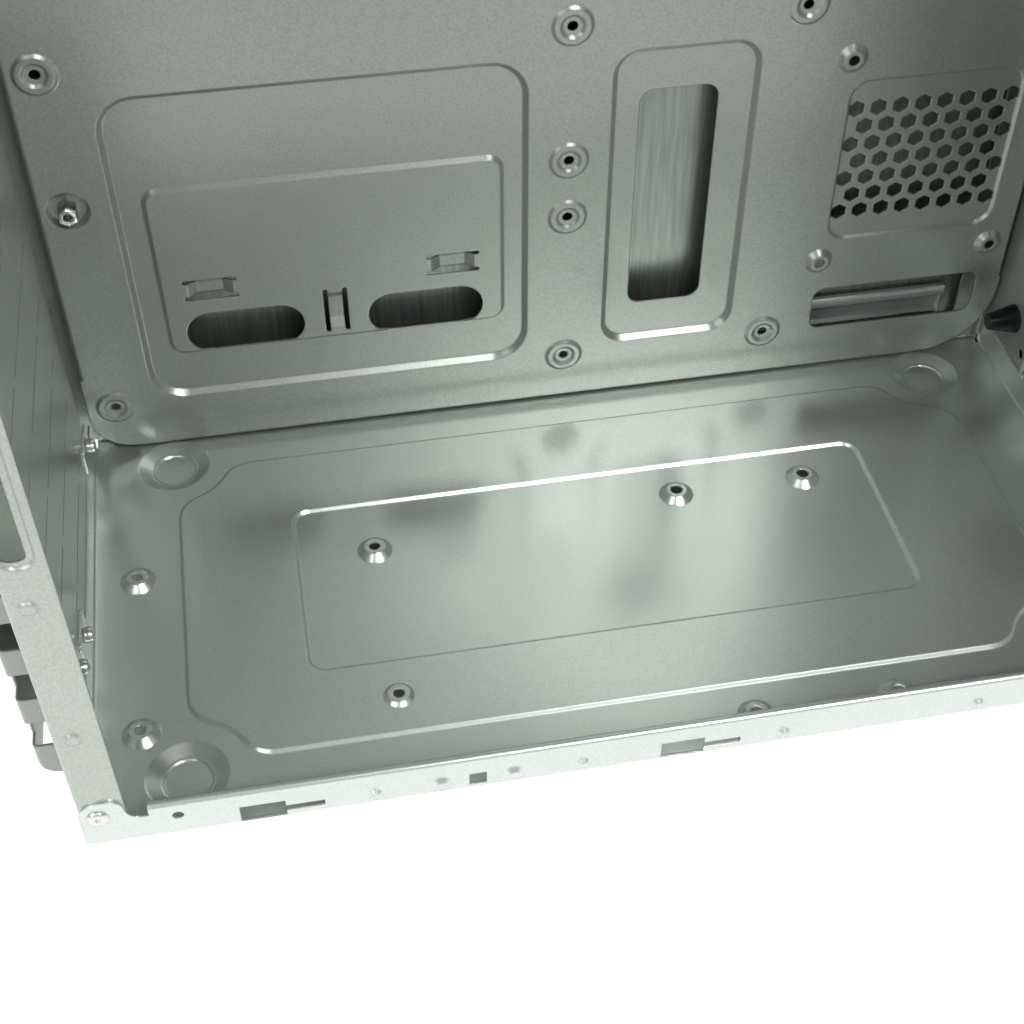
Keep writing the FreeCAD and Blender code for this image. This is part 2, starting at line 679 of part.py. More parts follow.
def field_outline():
    """Raised field of the floor, drawn in round each foot by a tangent arc."""
    x0, x1 = REAR + FIELD_REAR, FRONT - FIELD_FRONT
    y1 = FIELD_HALF_WIDTH
    feet = (REAR + FOOT_INSET, FRONT - FOOT_INSET)

    def outline(inset, z):
        fillet = FIELD_CORNER - inset
        notch = FOOT_NOTCH + inset
        reach = FOOT_NOTCH + FIELD_CORNER

        def corner(sx, sy):
            """Points of one corner, from the end edge round to the long edge."""
            foot = V(feet[0] if sx < 0 else feet[1], sy * FOOT_HALF_PITCH, z)
            edge_x = x0 if sx < 0 else x1
            side = V(edge_x - sx * FIELD_CORNER, 0, z)
            side.y = foot.y - sy * math.sqrt(reach ** 2 - (side.x - foot.x) ** 2)
            long = V(0, sy * (y1 - FIELD_CORNER), z)
            long.x = foot.x - sx * math.sqrt(reach ** 2 - (long.y - foot.y) ** 2)
            off_side = side + V(sx * fillet, 0, 0)
            off_long = long + V(0, sy * fillet, 0)
            meet_side = foot + (side - foot).normalize() * notch
            meet_long = foot + (long - foot).normalize() * notch
            bow_side = side + ((off_side + meet_side) * 0.5 - side).normalize() * fillet
            bow_long = long + ((off_long + meet_long) * 0.5 - long).normalize() * fillet
            bow_notch = foot + ((meet_side + meet_long) * 0.5 - foot).normalize() * notch
            return [off_side, (bow_side, meet_side), (bow_notch, meet_long), (bow_long, off_long)]

        steps = corner(-1, -1) + reverse_steps(corner(1, -1)) + corner(1, 1) + reverse_steps(corner(-1, 1))
        return trace(steps[0], steps[1:] + [steps[0]])
    return outline


def boss_hole(x, y, radius):
    """Upright hole through the floor."""
    height = FOLD + DISH_TOTAL + BOSS_HEIGHT + FIELD_RISE
    return rod(radius, V(x, y, UNDER - DISH_TOTAL), V(0, 0, 1), height)


def foot_places():
    """Middles of the four feet."""
    along = (REAR + FOOT_INSET, FRONT - FOOT_INSET)
    return [(x, y) for x in along for y in (FOOT_HALF_PITCH, -FOOT_HALF_PITCH)]


def bottom_pan():
    """Floor with its raised field, drive bosses and pressed feet."""
    inner_rear, inner_front = REAR + INNER_INSET, FRONT - INNER_INSET
    inner = rounded(inner_rear, inner_front, -INNER_HALF_WIDTH, INNER_HALF_WIDTH, INNER_CORNER)
    pan = press(folded_pan(), [(field_outline(), UNDER, FIELD_RISE, FIELD_RISE)])
    pan = press(pan, [(inner, UNDER + FIELD_RISE, -FIELD_RISE, FIELD_RISE)])
    small_x = REAR + SMALL_DRIVE_REAR
    small_y = NEAR + SMALL_DRIVE_SIDE
    small = [(x, y) for x in (small_x, small_x + SMALL_DRIVE_LENGTH)
             for y in (small_y, small_y + SMALL_DRIVE_WIDTH)]
    large_x = REAR + LARGE_DRIVE_REAR
    large_y = NEAR + LARGE_DRIVE_SIDE
    large = [(x, y) for x in (large_x, large_x + LARGE_DRIVE_WIDTH)
             for y in (large_y, large_y + LARGE_DRIVE_LENGTH)]
    forms = []
    for x, y in small + large:
        on_field = FIELD_HALF_WIDTH > abs(y) > INNER_HALF_WIDTH and x > REAR + FIELD_REAR
        lift = FIELD_RISE if on_field else 0.0
        run = BOSS_RUN * (BOSS_HEIGHT - lift) / BOSS_HEIGHT
        radius = BOSS_RADIUS - BOSS_RUN + run
        forms.append((disc(x, y, radius), UNDER + lift, BOSS_HEIGHT - lift, run))
    for x, y in foot_places():
        forms.append((disc(x, y, DISH_RADIUS), UNDER, -DISH_DEPTH, DISH_RUN))
    pan = press(pan, forms)
    centres = [(disc(x, y, DISH_CENTRE_RADIUS), UNDER - DISH_DEPTH, -DISH_CENTRE_DEPTH, DISH_CENTRE_DEPTH)
               for x, y in foot_places()]
    pan = press(pan, centres)
    holes = [boss_hole(x, y, SMALL_DRIVE_HOLE) for x, y in small]
    holes += [boss_hole(x, y, LARGE_DRIVE_HOLE) for x, y in large]
    return pan.cut(holes)


def top_panel():
    """Roof: the plain pan turned over."""
    return folded_pan().mirror(V(0, 0, MID_HEIGHT), V(0, 0, 1))


def post_ends(x0, x1):
    """Cuts that keep the posts clear of the folds of floor and roof."""
    depth = FOLD + SEAT_GAP
    cut = box(x0, x1, NEAR, NEAR + SHEET + FOLD, UNDER - SHEET, UNDER + depth)
    cuts = both_sides([cut])
    return cuts + [c.mirror(V(0, 0, MID_HEIGHT), V(0, 0, 1)) for c in cuts]


def slit_cuts():
    """Slits that mark out the break-away slot covers, with bridges left between them."""
    ends = [SLIT_FAR]
    for share in SLIT_BRIDGE_SHARES:
        middle = SLIT_FAR + (SLIT_NEAR - SLIT_FAR) * share
        ends += [middle + SLIT_BRIDGE / 2, middle - SLIT_BRIDGE / 2]
    ends.append(SLIT_NEAR)
    cuts = []
    for k in range(SLOT_COUNT + 1):
        z = FLOOR + SLOT_LOW + SLOT_PITCH * k
        for high, low in zip(ends[::2], ends[1::2]):
            cuts.append(box(REAR - SHEET, REAR + 2 * SHEET, low, high, z - SLIT / 2, z + SLIT / 2))
    return cuts


def hex_field(x0, y0, pitch, across, columns, rows):
    """Rows of hexagons, every other row set half a pitch along and one shorter."""
    outlines = []
    for row in range(rows):
        odd = row % 2
        for column in range(columns - odd):
            x = x0 + pitch * (column + odd / 2)
            outlines.append(hexagon(x, y0 + row * pitch * math.sqrt(3) / 2, across))
    return outlines


def vent_cuts(reach):
    """Round field of hexagons and the four fan holes beside the connector window."""
    rows = int(VENT_RADIUS / (VENT_PITCH * math.sqrt(3) / 2))
    columns = int(VENT_RADIUS / VENT_PITCH)
    cuts = []
    for row in range(-rows, rows + 1):
        for column in range(-columns - 1, columns + 2):
            y = VENT_PITCH * (column + (row % 2) / 2)
            z = VENT_PITCH * row * math.sqrt(3) / 2
            if math.hypot(y, z) + VENT_HEXAGON / 2 < VENT_RADIUS:
                shape = hexagon(VENT_Y + y, FLOOR + VENT_Z + z, VENT_HEXAGON)
                cuts.append(prism(shape, 0, reach, facing_front(REAR - SHEET)))
    half = FAN_HOLE_PITCH / 2
    for y in (VENT_Y - half, VENT_Y + half):
        for z in (FLOOR + VENT_Z - half, FLOOR + VENT_Z + half):
            cuts.append(rod(FAN_HOLE, V(REAR - SHEET, y, z), V(1, 0, 0), reach))
    return cuts


def rear_panel():
    """Rear wall, folded with its posts and the stepped corner behind the tray."""
    post = REAR + POST_WIDTH
    points = [
        V(post, NEAR + SHEET, 0), V(REAR, NEAR + SHEET, 0), V(REAR, STEP_Y, 0),
        V(REAR - CORNER_STEP, STEP_Y, 0), V(REAR - CORNER_STEP, FAR - SHEET, 0), V(post, FAR - SHEET, 0),
    ]
    wall = bent_sheet(points, -1, lambda p: V(p.x, p.y, UNDER), V(0, 0, CHASSIS_HEIGHT))
    skin = facing_open_side(NEAR + 2 * SHEET)
    window_high = FLOOR + POST_WINDOW_LOW + POST_WINDOW_LENGTH
    window = (REAR + FOLD + SHEET, post - POST_WINDOW_INSET, FLOOR + POST_WINDOW_LOW, window_high)
    x0, x1, z0, z1 = window
    rim = rounded(x0 - SHEET, x1 + POST_RIM, z0 - POST_RIM, z1 + POST_RIM, 2 * POST_RIM)
    wall = press(wall, [(rim, 0, -SHEET, SHEET)], skin)
    pip_x = post - POST_PIP_INSET
    pips = [(disc(pip_x, FLOOR + z, PIP_RADIUS), 0, SHEET, SHEET) for z in POST_PIP_LEVELS]
    wall = press(wall, pips, skin)
    reach = 3 * SHEET
    cuts = post_ends(REAR - CORNER_STEP - SHEET, post + SHEET) + slit_cuts() + vent_cuts(reach)
    cuts.append(prism(rounded(*window, POST_RIM), -FOLD - SHEET, FOLD, skin))
    io_low = SLOT_HIGH + IO_RISE
    at_rear = facing_front(REAR - SHEET)
    io_window = rounded(IO_NEAR, IO_FAR, io_low, io_low + IO_LENGTH, SHEET)
    cuts.append(prism(io_window, -FOLD, reach, at_rear))
    mouth_far = STEP_Y - MOUTH_STEP_GAP
    mouth_high = ROOF - RIVET_TAB_HEIGHT - FOLD
    mouth = rounded(PSU_NEAR + PSU_RIM, mouth_far, PSU_LOW + PSU_RIM, mouth_high, MOUTH_CORNER)
    cuts.append(prism(mouth, 0, reach, at_rear))
    for y, z in PSU_HOLES:
        cuts.append(rod(PSU_HOLE, V(REAR - SHEET, PSU_NEAR + y, PSU_LOW + z), V(1, 0, 0), reach))
    for start in panel_screw_starts():
        cuts.append(rod(PANEL_SCREW_RADIUS + SEAT_GAP, start, V(1, 0, 0), 2 * FOLD))
    cuts += holes_for(CORNER_RIVETS + REAR_RIVETS + TRAY_RIVETS + GUARD_RIVETS)
    return wall.cut(cuts)


def panel_screw_starts():
    """Points on the outside of the side panel's rear lip where its screws enter."""
    y = PANEL_OUTER - PANEL_SCREW_INSET
    return [V(LIP_OUTER, y, level) for level in PANEL_SCREW_LEVELS]


def slot_screw_guard():
    """Folded guard outside the rear wall, with a window to each slot's screw."""
    outer = REAR - GUARD_DEPTH
    base = REAR - SHEET
    far = GUARD_NEAR + GUARD_WIDTH
    points = [
        V(base, GUARD_NEAR - GUARD_FLANGE, 0), V(base, GUARD_NEAR, 0), V(outer, GUARD_NEAR, 0),
        V(outer, far, 0), V(base, far, 0), V(base, far + GUARD_FLANGE, 0),
    ]
    low = FLOOR + GUARD_LOW
    guard = bent_sheet(points, -1, lambda p: V(p.x, p.y, low), V(0, 0, GUARD_HIGH - low))
    edge = rounded(outer, REAR + 2 * GUARD_ROUND, low, GUARD_HIGH, GUARD_ROUND)
    near_end, far_end = 2 * GUARD_FLANGE - GUARD_NEAR, -far - 2 * GUARD_FLANGE
    guard = guard.common(prism(edge, far_end, near_end, facing_open_side(0)))
    cuts = []
    for k in range(SLOT_COUNT):
        z = FLOOR + SLOT_LOW + SLOT_PITCH * (k + 0.5) - GUARD_WINDOW_DROP
        y0, y1 = GUARD_NEAR - SHEET, GUARD_NEAR + GUARD_WINDOW_WRAP
        cuts.append(box(outer - SHEET, base - FOLD, y0, y1, z - GUARD_WINDOW / 2, z + GUARD_WINDOW / 2))
    return guard.cut(cuts + holes_for(GUARD_RIVETS))


def tie_bridge(x, y, upright):
    """Cut and sunken strip of one cable tie point in the flat tray, at the cable pad's level."""
    half = TIE_LENGTH / 2
    width = (TIE_PITCH - TIE_SLOT) / 2
    top = SHEET - RECESS_DEPTH + CABLE_PAD_RISE
    low, high = -2 * RECESS_DEPTH, 2 * SHEET
    cut = box(TIE_SLOT - half, half - TIE_SLOT, -width, width, low, high)
    for middle in (-TIE_PITCH / 2, TIE_PITCH / 2):
        edges = (middle - TIE_SLOT / 2, middle + TIE_SLOT / 2)
        cut = cut.fuse(prism(rounded(-half, half, *edges, TIE_SLOT / 2 - THIN), low, high))
    line = [(TIE_SLOT - half, 0), (TIE_SLOT + TIE_RUN - half, -TIE_DEPTH),
            (half - TIE_SLOT - TIE_RUN, -TIE_DEPTH), (half - TIE_SLOT, 0)]
    skin = [V(u, -width, top + w) for u, w in line]
    back = [V(u, -width, top + w - SHEET) for u, w in reversed(line)]
    strip = Part.Face(Part.makePolygon(skin + back + skin[:1])).extrude(V(0, 2 * width, 0))
    for solid in (cut, strip):
        if upright:
            solid.rotate(V(0, 0, 0), V(0, 0, 1), 90)
        solid.translate(V(BOARD_X + x, BOARD_Z + y, 0))
    return cut, strip


def board_rounded(sizes, radius):
    """Rounded rectangle placed from the lowest rear board hole."""
    x0, x1, y0, y1 = sizes
    return rounded(BOARD_X + x0, BOARD_X + x1, BOARD_Z + y0, BOARD_Z + y1, radius)


def raised_rounded(x0, x1, levels, radius):
    """Rounded rectangle whose levels are counted from the lowest row of board holes."""
    return rounded(x0, x1, BOARD_Z + levels[0], BOARD_Z + levels[1], radius)


def standoff_rings():
    """Board places of the pressed stand-off rings."""
    lower = [(0.0, 0.0), (BOARD_MIDDLE, 0.0), (BOARD_FRONT, 0.0)]
    extra = [(BOARD_MIDDLE, BOARD_ROW_EXTRA), (BOARD_MIDDLE, BOARD_ROW_SMALL)]
    middle = [(0.0, BOARD_ROW_MIDDLE), (BOARD_MIDDLE, BOARD_ROW_MIDDLE), (BOARD_FRONT, BOARD_ROW_MIDDLE)]
    upper = [(0.0, BOARD_ROW_REAR_TOP), (BOARD_MIDDLE, BOARD_ROW_TOP), (BOARD_FRONT, BOARD_ROW_TOP)]
    return [(BOARD_X + x, BOARD_Z + y) for x, y in lower + extra + middle + upper]


def tray_sheet():
    """Flat outline of the tray, with larger rounding at its lower front corner."""
    x0, x1, y0, y1 = TRAY_REAR, TRAY_FRONT, TRAY_LOW, TRAY_HIGH
    small, large = TRAY_REAR_CORNER, TRAY_FRONT_CORNER
    k, m = small * (1 - math.sqrt(0.5)), large * (1 - math.sqrt(0.5))
    steps = [
        V(x1 - large, y0, 0), (V(x1 - m, y0 + m, 0), V(x1, y0 + large, 0)),
        V(x1, y1, 0), V(x0, y1, 0),
        V(x0, y0 + small, 0), (V(x0 + k, y0 + k, 0), V(x0 + small, y0, 0)),
    ]
    return Part.Face(trace(V(x0 + small, y0, 0), steps)).extrude(V(0, 0, SHEET))


def motherboard_tray():
    """Tray with its recesses, rings, cable holes and vent, and lips folded back to the far posts."""
    panel_x0 = BOARD_X + BOARD_MIDDLE + WINDOW_PANEL_REAR_GAP
    panel_width = TRAY_DRIVE_REAR - WINDOW_PANEL_FRONT_GAP - panel_x0
    window_panel = raised_rounded(panel_x0, panel_x0 + panel_width, WINDOW_PANEL_LEVELS,
                                  panel_width * WINDOW_PANEL_CORNER_SHARE)
    vent_x0 = TRAY_DRIVE_MIDDLE - VENT_PANEL_LENGTH / 2
    vent_panel = raised_rounded(vent_x0, vent_x0 + VENT_PANEL_LENGTH, VENT_PANEL_LEVELS, VENT_PANEL_CORNER)
    sheet = press(tray_sheet(), [
        (board_rounded(CABLE_PANEL, CABLE_PANEL_CORNER), 0, -RECESS_DEPTH, RECESS_RUN),
        (window_panel, 0, -RECESS_DEPTH, RECESS_RUN),
        (vent_panel, 0, -VENT_PANEL_DEPTH, VENT_PANEL_DEPTH),
    ])
    pad = board_rounded(CABLE_PAD, CABLE_PAD_CORNER)
    sheet = press(sheet, [(pad, -RECESS_DEPTH, CABLE_PAD_RISE, CABLE_PAD_RISE)])
    rings = standoff_rings()
    drive_low = BOARD_Z + TRAY_DRIVE_UP
    drive = [(x, y) for x in (TRAY_DRIVE_REAR, TRAY_DRIVE_FRONT)
             for y in (drive_low, drive_low + SMALL_DRIVE_LENGTH)]
    forms = [(disc(x, y, RING_RADIUS), 0, RING_HEIGHT, RING_RUN) for x, y in rings]
    forms += [(disc(x, y, TRAY_BOSS_RADIUS), 0, TRAY_BOSS_HEIGHT, TRAY_BOSS_HEIGHT) for x, y in drive]
    standoff_y = BOARD_Z + BOARD_ROW_SMALL
    forms.append((disc(BOARD_X, standoff_y, STANDOFF_DISH_RADIUS), 0, -STANDOFF_DISH_DEPTH, RING_RUN))
    sheet = press(sheet, forms)
    dishes = [(disc(x, y, RING_DISH), RING_HEIGHT, -RING_HEIGHT, RING_RUN) for x, y in rings]
    sheet = press(sheet, dishes)
    low, high = -2 * STANDOFF_DISH_DEPTH, 2 * TRAY_BOSS_HEIGHT
    up = V(0, 0, 1)
    cuts = [rod(RING_HOLE, V(x, y, low), up, high - low) for x, y in rings + [(BOARD_X, standoff_y)]]
    cuts += [rod(SMALL_DRIVE_HOLE, V(x, y, low), up, high - low) for x, y in drive]
    hex_x = TRAY_DRIVE_MIDDLE - TRAY_HEX_PITCH * (TRAY_HEX_COUNT - 1) / 2
    outlines = hex_field(hex_x, BOARD_Z + TRAY_HEX_UP, TRAY_HEX_PITCH, TRAY_HEXAGON,
                         TRAY_HEX_COUNT, TRAY_HEX_ROWS)
    for x, y in CABLE_OVALS:
        half = CABLE_OVAL_LENGTH / 2
        rise = CABLE_OVAL_HEIGHT / 2
        outlines.append(board_rounded((x - half, x + half, y - rise, y + rise), rise - THIN))
    window_x0, window_x1 = (panel_x0 + panel_width * share for share in WINDOW_SHARES)
    window_corner = panel_width * WINDOW_CORNER_SHARE
    outlines.append(raised_rounded(window_x0, window_x1, WINDOW_LEVELS, window_corner))
    lower_x0 = TRAY_DRIVE_MIDDLE - LOWER_WINDOW_LENGTH / 2
    outlines.append(raised_rounded(lower_x0, lower_x0 + LOWER_WINDOW_LENGTH, LOWER_WINDOW_LEVELS,
                                   LOWER_WINDOW_CORNER))
    outlines.append(board_rounded(COOLER_WINDOW, COOLER_WINDOW_CORNER))
    cuts += [prism(outline, low, high) for outline in outlines]
    strips = []
    for x, y in TIE_PLACES:
        cut, strip = tie_bridge(x, y, False)
        cuts.append(cut)
        strips.append(strip)
    cut, strip = tie_bridge(*UPRIGHT_TIE_PLACE, True)
    cuts.append(cut)
    strips.append(strip)
    flange_low, flange_high = FLOOR + TRAY_FLANGE_UP, ROOF - SHEET - TRAY_FLANGE_UP
    for x in (TRAY_REAR, TRAY_FRONT):
        cuts.append(box(x - FOLD, x + FOLD, flange_low, flange_high, low, high))
    sheet = sheet.cut(cuts).multiFuse(strips)
    sheet.Placement = facing_open_side(TRAY + SHEET)
    back = FAR - 2 * SHEET
    rear_fold = [V(TRAY_REAR + TRAY_LIP, back, 0), V(TRAY_REAR, back, 0), V(TRAY_REAR, TRAY, 0),
                 V(TRAY_REAR + HEM, TRAY, 0)]
    front_fold = [V(TRAY_FRONT - TRAY_LIP, back, 0), V(TRAY_FRONT, back, 0), V(TRAY_FRONT, TRAY, 0),
                  V(TRAY_FRONT - HEM, TRAY, 0)]
    stand = lambda p: V(p.x, p.y, flange_low)
    rise = V(0, 0, flange_high - flange_low)
    lips = [bent_sheet(rear_fold, 1, stand, rise), bent_sheet(front_fold, -1, stand, rise)]
    sheet = sheet.multiFuse(lips)
    return sheet.cut(holes_for(TRAY_RIVETS + LEDGE_RIVETS))


def board_standoff():
    """Hexagonal stand-off seated in its dish, with a stud through the tray and a threaded bore."""
    x, z = BOARD_X, BOARD_Z + BOARD_ROW_SMALL
    seat = TRAY + STANDOFF_DISH_DEPTH
    shape = hexagon(x, z, STANDOFF_WIDTH)
    body = prism(shape, 0, STANDOFF_HEIGHT, facing_open_side(seat))
    stud = rod(RING_HOLE - RIVET_CLEAR, V(x, seat, z), V(0, 1, 0), SHEET + STANDOFF_DISH_DEPTH)
    bore = rod(RING_HOLE - RIVET_CLEAR, V(x, seat - STANDOFF_HEIGHT, z), V(0, 1, 0), STANDOFF_HEIGHT - BEND)
    return body.cut(bore).fuse(stud)


def clip_places():
    """Middles of the snap clips of the bezel in the front wall."""
    levels = (CLIP_LOWEST, (CLIP_LOWEST + CLIP_HIGHEST) / 2, CLIP_HIGHEST)
    return [(y, z) for y in (CLIP_HALF_PITCH, -CLIP_HALF_PITCH) for z in levels]


def front_frame():
    """Front wall with its posts, fan openings, cable port and clip holes."""
    post = FRONT - POST_WIDTH
    points = [
        V(post, NEAR + SHEET, 0), V(FRONT, NEAR + SHEET, 0),
        V(FRONT, FAR - SHEET, 0), V(post, FAR - SHEET, 0),
    ]
    wall = bent_sheet(points, 1, lambda p: V(p.x, p.y, UNDER), V(0, 0, CHASSIS_HEIGHT))
    start = FRONT - 2 * SHEET
    reach = 3 * SHEET
    along = V(1, 0, 0)
    cuts = post_ends(post - SHEET, FRONT + SHEET)
    half = FAN_BOLT_PITCH / 2
    for level in FAN_LEVELS:
        middle = V(start, 0, FLOOR + level)
        cuts.append(rod(FAN_BORE, middle, along, reach))
        corners = [V(0, y, z) for y in (-half, half) for z in (-half, half)]
        cuts += [rod(FAN_HOLE, middle + corner, along, reach) for corner in corners]
    port_high = ROOF - CABLE_PORT_DROP
    port_low = port_high - CABLE_PORT_HEIGHT
    port = rounded(-CABLE_PORT_HALF_WIDTH, CABLE_PORT_HALF_WIDTH, port_low, port_high, CABLE_PORT_CORNER)
    cuts.append(prism(port, 0, reach, facing_front(start)))
    cuts += [rod(CLIP_NECK + RUN_GAP, V(start, y, z), along, reach) for y, z in clip_places()]
    for y in (SIDE_HOLE_HALF_PITCH, -SIDE_HOLE_HALF_PITCH):
        cuts.append(rod(SIDE_HOLE, V(start, y, FLOOR + SIDE_HOLE_LEVEL), along, reach))
    cuts += holes_for(CORNER_RIVETS + FRONT_RIVETS + TRAY_RIVETS)
    return wall.cut(cuts)


def psu_ledge():
    """Angle riveted to the tray, on which the power supply's edge rests."""
    x0 = BOARD_X + LEDGE_REAR
    points = [V(TRAY - LEDGE_DEPTH, PSU_LOW, 0), V(TRAY, PSU_LOW, 0), V(TRAY, PSU_LOW - LEDGE_LEG, 0)]
    ledge = bent_sheet(points, -1, lambda p: V(x0, p.x, p.y), V(LEDGE_LENGTH, 0, 0))
    return ledge.cut(holes_for(LEDGE_RIVETS))


def hook_starts():
    """Rear ends of the panel's hook necks, at the front ends of the keyholes."""
    reach = KEYHOLE_WIDE + KEYHOLE_NARROW - HOOK_LENGTH - RUN_GAP
    return [start + reach for start in keyhole_starts()]


def panel_hook(x):
    """T-shaped hook of the side panel: a flat neck through the keyhole and an upright head behind it."""
    level = UNDER + KEYHOLE_LEVEL
    head = FAR - SHEET - HOOK_BACK
    half = HOOK_HEIGHT / 2
    neck = box(x, x + HOOK_LENGTH, head, PANEL_INNER, level - SHEET / 2, level + SHEET / 2)
    plate = box(x, x + HOOK_LENGTH, head - SHEET, head, level - half, level + half)
    return neck.fuse(plate)


def right_side_panel():
    """Right side panel with a folded rear lip and hooks at its lower and upper edges."""
    points = [V(FRONT - PANEL_FRONT_GAP, PANEL_OUTER, 0), V(LIP_OUTER, PANEL_OUTER, 0),
              V(LIP_OUTER, PANEL_OUTER - PANEL_LIP, 0)]
    low = UNDER + PANEL_EDGE_GAP
    panel = bent_sheet(points, 1, lambda p: V(p.x, p.y, low), V(0, 0, CHASSIS_HEIGHT - 2 * PANEL_EDGE_GAP))
    hooks = []
    for x in hook_starts():
        hooks += floor_and_roof(panel_hook(x))
    panel = panel.multiFuse(hooks)
    reach = FOLD + SHEET
    along = V(1, 0, 0)
    hole = PANEL_SCREW_RADIUS + SEAT_GAP
    return panel.cut([rod(hole, start - along * SHEET, along, reach) for start in panel_screw_starts()])


def side_panel_screws():
    """Two screws through the rear lip of the side panel into the rear wall."""
    along = V(1, 0, 0)
    screws = []
    for start in panel_screw_starts():
        crown = start - along * PANEL_SCREW_HEAD_HEIGHT
        head = rod(PANEL_SCREW_HEAD, crown, along, PANEL_SCREW_HEAD_HEIGHT)
        screws.append(head.fuse(rod(PANEL_SCREW_RADIUS, start, along, PANEL_SCREW_LENGTH)))
    return Part.Compound(screws)


def foot_pad(x, y):
    """Round pad under a pressed foot, slightly narrower at the ground."""
    return Part.makeCone(PAD_RADIUS - BEND, PAD_RADIUS, PAD_HEIGHT, V(x, y, 0), V(0, 0, 1))


def bezel_plan(margin):
    """Plan of the bezel drawn in by a margin: square at the rear, rounded at the front."""
    half = CHASSIS_WIDTH / 2 + BEZEL_MARGIN - margin
    face = FACE - margin
    r = BEZEL_CORNER - margin
    k = r * (1 - math.sqrt(0.5))
    steps = [
        V(face - r, -half, 0), (V(face - k, k - half, 0), V(face, r - half, 0)),
        V(face, half - r, 0), (V(face - k, half - k, 0), V(face - r, half, 0)),
        V(FRONT, half, 0), V(FRONT, -half, 0),
    ]
    return Part.Face(trace(V(FRONT, -half, 0), steps))


def io_screw_places():
    """Corners of the front connector board where it is screwed to the bezel."""
    y = CONTROL_HALF_LENGTH - IO_SCREW_INSET
    z = IO_BOARD_HALF_HEIGHT - IO_SCREW_INSET / 2
    return [(sy * y, CONTROL_Z + sz * z) for sy in (-1, 1) for sz in (-1, 1)]


def front_bezel():
    """Moulded front shell with louvres, a recessed control strip, board bosses and snap clips."""
    along = V(1, 0, 0)
    low, high = BEZEL_LOW, ROOF + BEZEL_OVER
    shell = bezel_plan(0).extrude(V(0, 0, high - low))
    shell.translate(V(0, 0, low))
    hollow = bezel_plan(BEZEL_WALL).extrude(V(0, 0, high - low - 2 * BEZEL_WALL))
    hollow.translate(V(0, 0, low + BEZEL_WALL))
    shell = shell.cut(hollow)
    boss_length = BEZEL_INNER - BOARD_FACE
    bosses = [rod(IO_BOSS_RADIUS, V(BOARD_FACE, y, z), along, boss_length) for y, z in io_screw_places()]
    for y, z in clip_places():
        bosses.append(rod(CLIP_POST, V(FRONT, y, z), along, BEZEL_INNER - FRONT))
        bosses.append(rod(CLIP_NECK, V(FRONT - 2 * SHEET, y, z), along, 2 * SHEET))
        base = V(FRONT - SHEET - SEAT_GAP, y, z)
        bosses.append(Part.makeCone(CLIP_BASE, CLIP_TIP, CLIP_LENGTH, base, V(-1, 0, 0)))
    shell = shell.multiFuse(bosses)
    side = CHASSIS_WIDTH / 2 + BEZEL_MARGIN
    centre = (FRONT + FACE - BEZEL_CORNER) / 2
    cuts = []
    for k in range(LOUVRE_COUNT):
        z = FLOOR + LOUVRE_LOW + LOUVRE_PITCH * k
        ends = (centre - LOUVRE_LENGTH / 2, centre + LOUVRE_LENGTH / 2)
        slot = rounded(*ends, z, z + LOUVRE_HEIGHT, LOUVRE_HEIGHT / 2 - THIN)
        cut = prism(slot, -BEZEL_WALL, 2 * BEZEL_WALL, facing_open_side(-side + BEZEL_WALL))
        cuts += both_sides([cut])
    cuts.append(box(centre - INLET_LENGTH / 2, centre + INLET_LENGTH / 2, -CLIP_HALF_PITCH + CLIP_POST * 2,
                    CLIP_HALF_PITCH - CLIP_POST * 2, low - BEZEL_WALL, low + 2 * BEZEL_WALL))
    strip = rounded(-CONTROL_HALF_LENGTH, CONTROL_HALF_LENGTH, CONTROL_Z - CONTROL_HALF_HEIGHT,
                    CONTROL_Z + CONTROL_HALF_HEIGHT, CONTROL_HALF_HEIGHT / 2)
    cuts.append(prism(strip, 0, 2 * CONTROL_DEPTH, facing_front(CONTROL_FACE)))
    inside = BEZEL_INNER - BEZEL_WALL
    reach = 3 * BEZEL_WALL
    rounds = [(POWER_Y, POWER_RADIUS), (RESET_Y, RESET_RADIUS)]
    rounds += [(y, LIGHT_RADIUS) for y in LIGHT_PLACES] + [(y, JACK_RADIUS) for y in JACK_PLACES]
    cuts += [rod(radius + RUN_GAP, V(inside, y, CONTROL_Z), along, reach) for y, radius in rounds]
    wide, tall = USB_WIDTH / 2 + RUN_GAP, USB_HEIGHT / 2 + RUN_GAP
    low, high = CONTROL_Z - tall, CONTROL_Z + tall
    cuts += [box(inside, inside + reach, y - wide, y + wide, low, high) for y in USB_PLACES]
    bore_start = BOARD_FACE - BEND
    cuts += [rod(IO_BOSS_BORE, V(bore_start, y, z), along, IO_SCREW_LENGTH) for y, z in io_screw_places()]
    return shell.cut(cuts)


def button(y, radius):
    """Push button: cap, collar behind the wall and a stem that enters the switch."""
    along = V(-1, 0, 0)
    cap_front = CONTROL_FACE + BUTTON_PROUD
    collar_front = BEZEL_INNER - SEAT_GAP
    stem_end = SWITCH_FACE - STEM_REACH
    cap = rod(radius, V(cap_front, y, CONTROL_Z), along, cap_front - collar_front)
    cap = cap.makeChamfer(SEAT_GAP * 2, [e for e in cap.Edges if e.BoundBox.XMin > cap_front - TINY])
    collar = rod(radius + COLLAR, V(collar_front, y, CONTROL_Z), along, COLLAR_THICK)
    stem = rod(STEM_RADIUS, V(collar_front, y, CONTROL_Z), along, collar_front - stem_end)
    return cap.fuse([collar, stem])


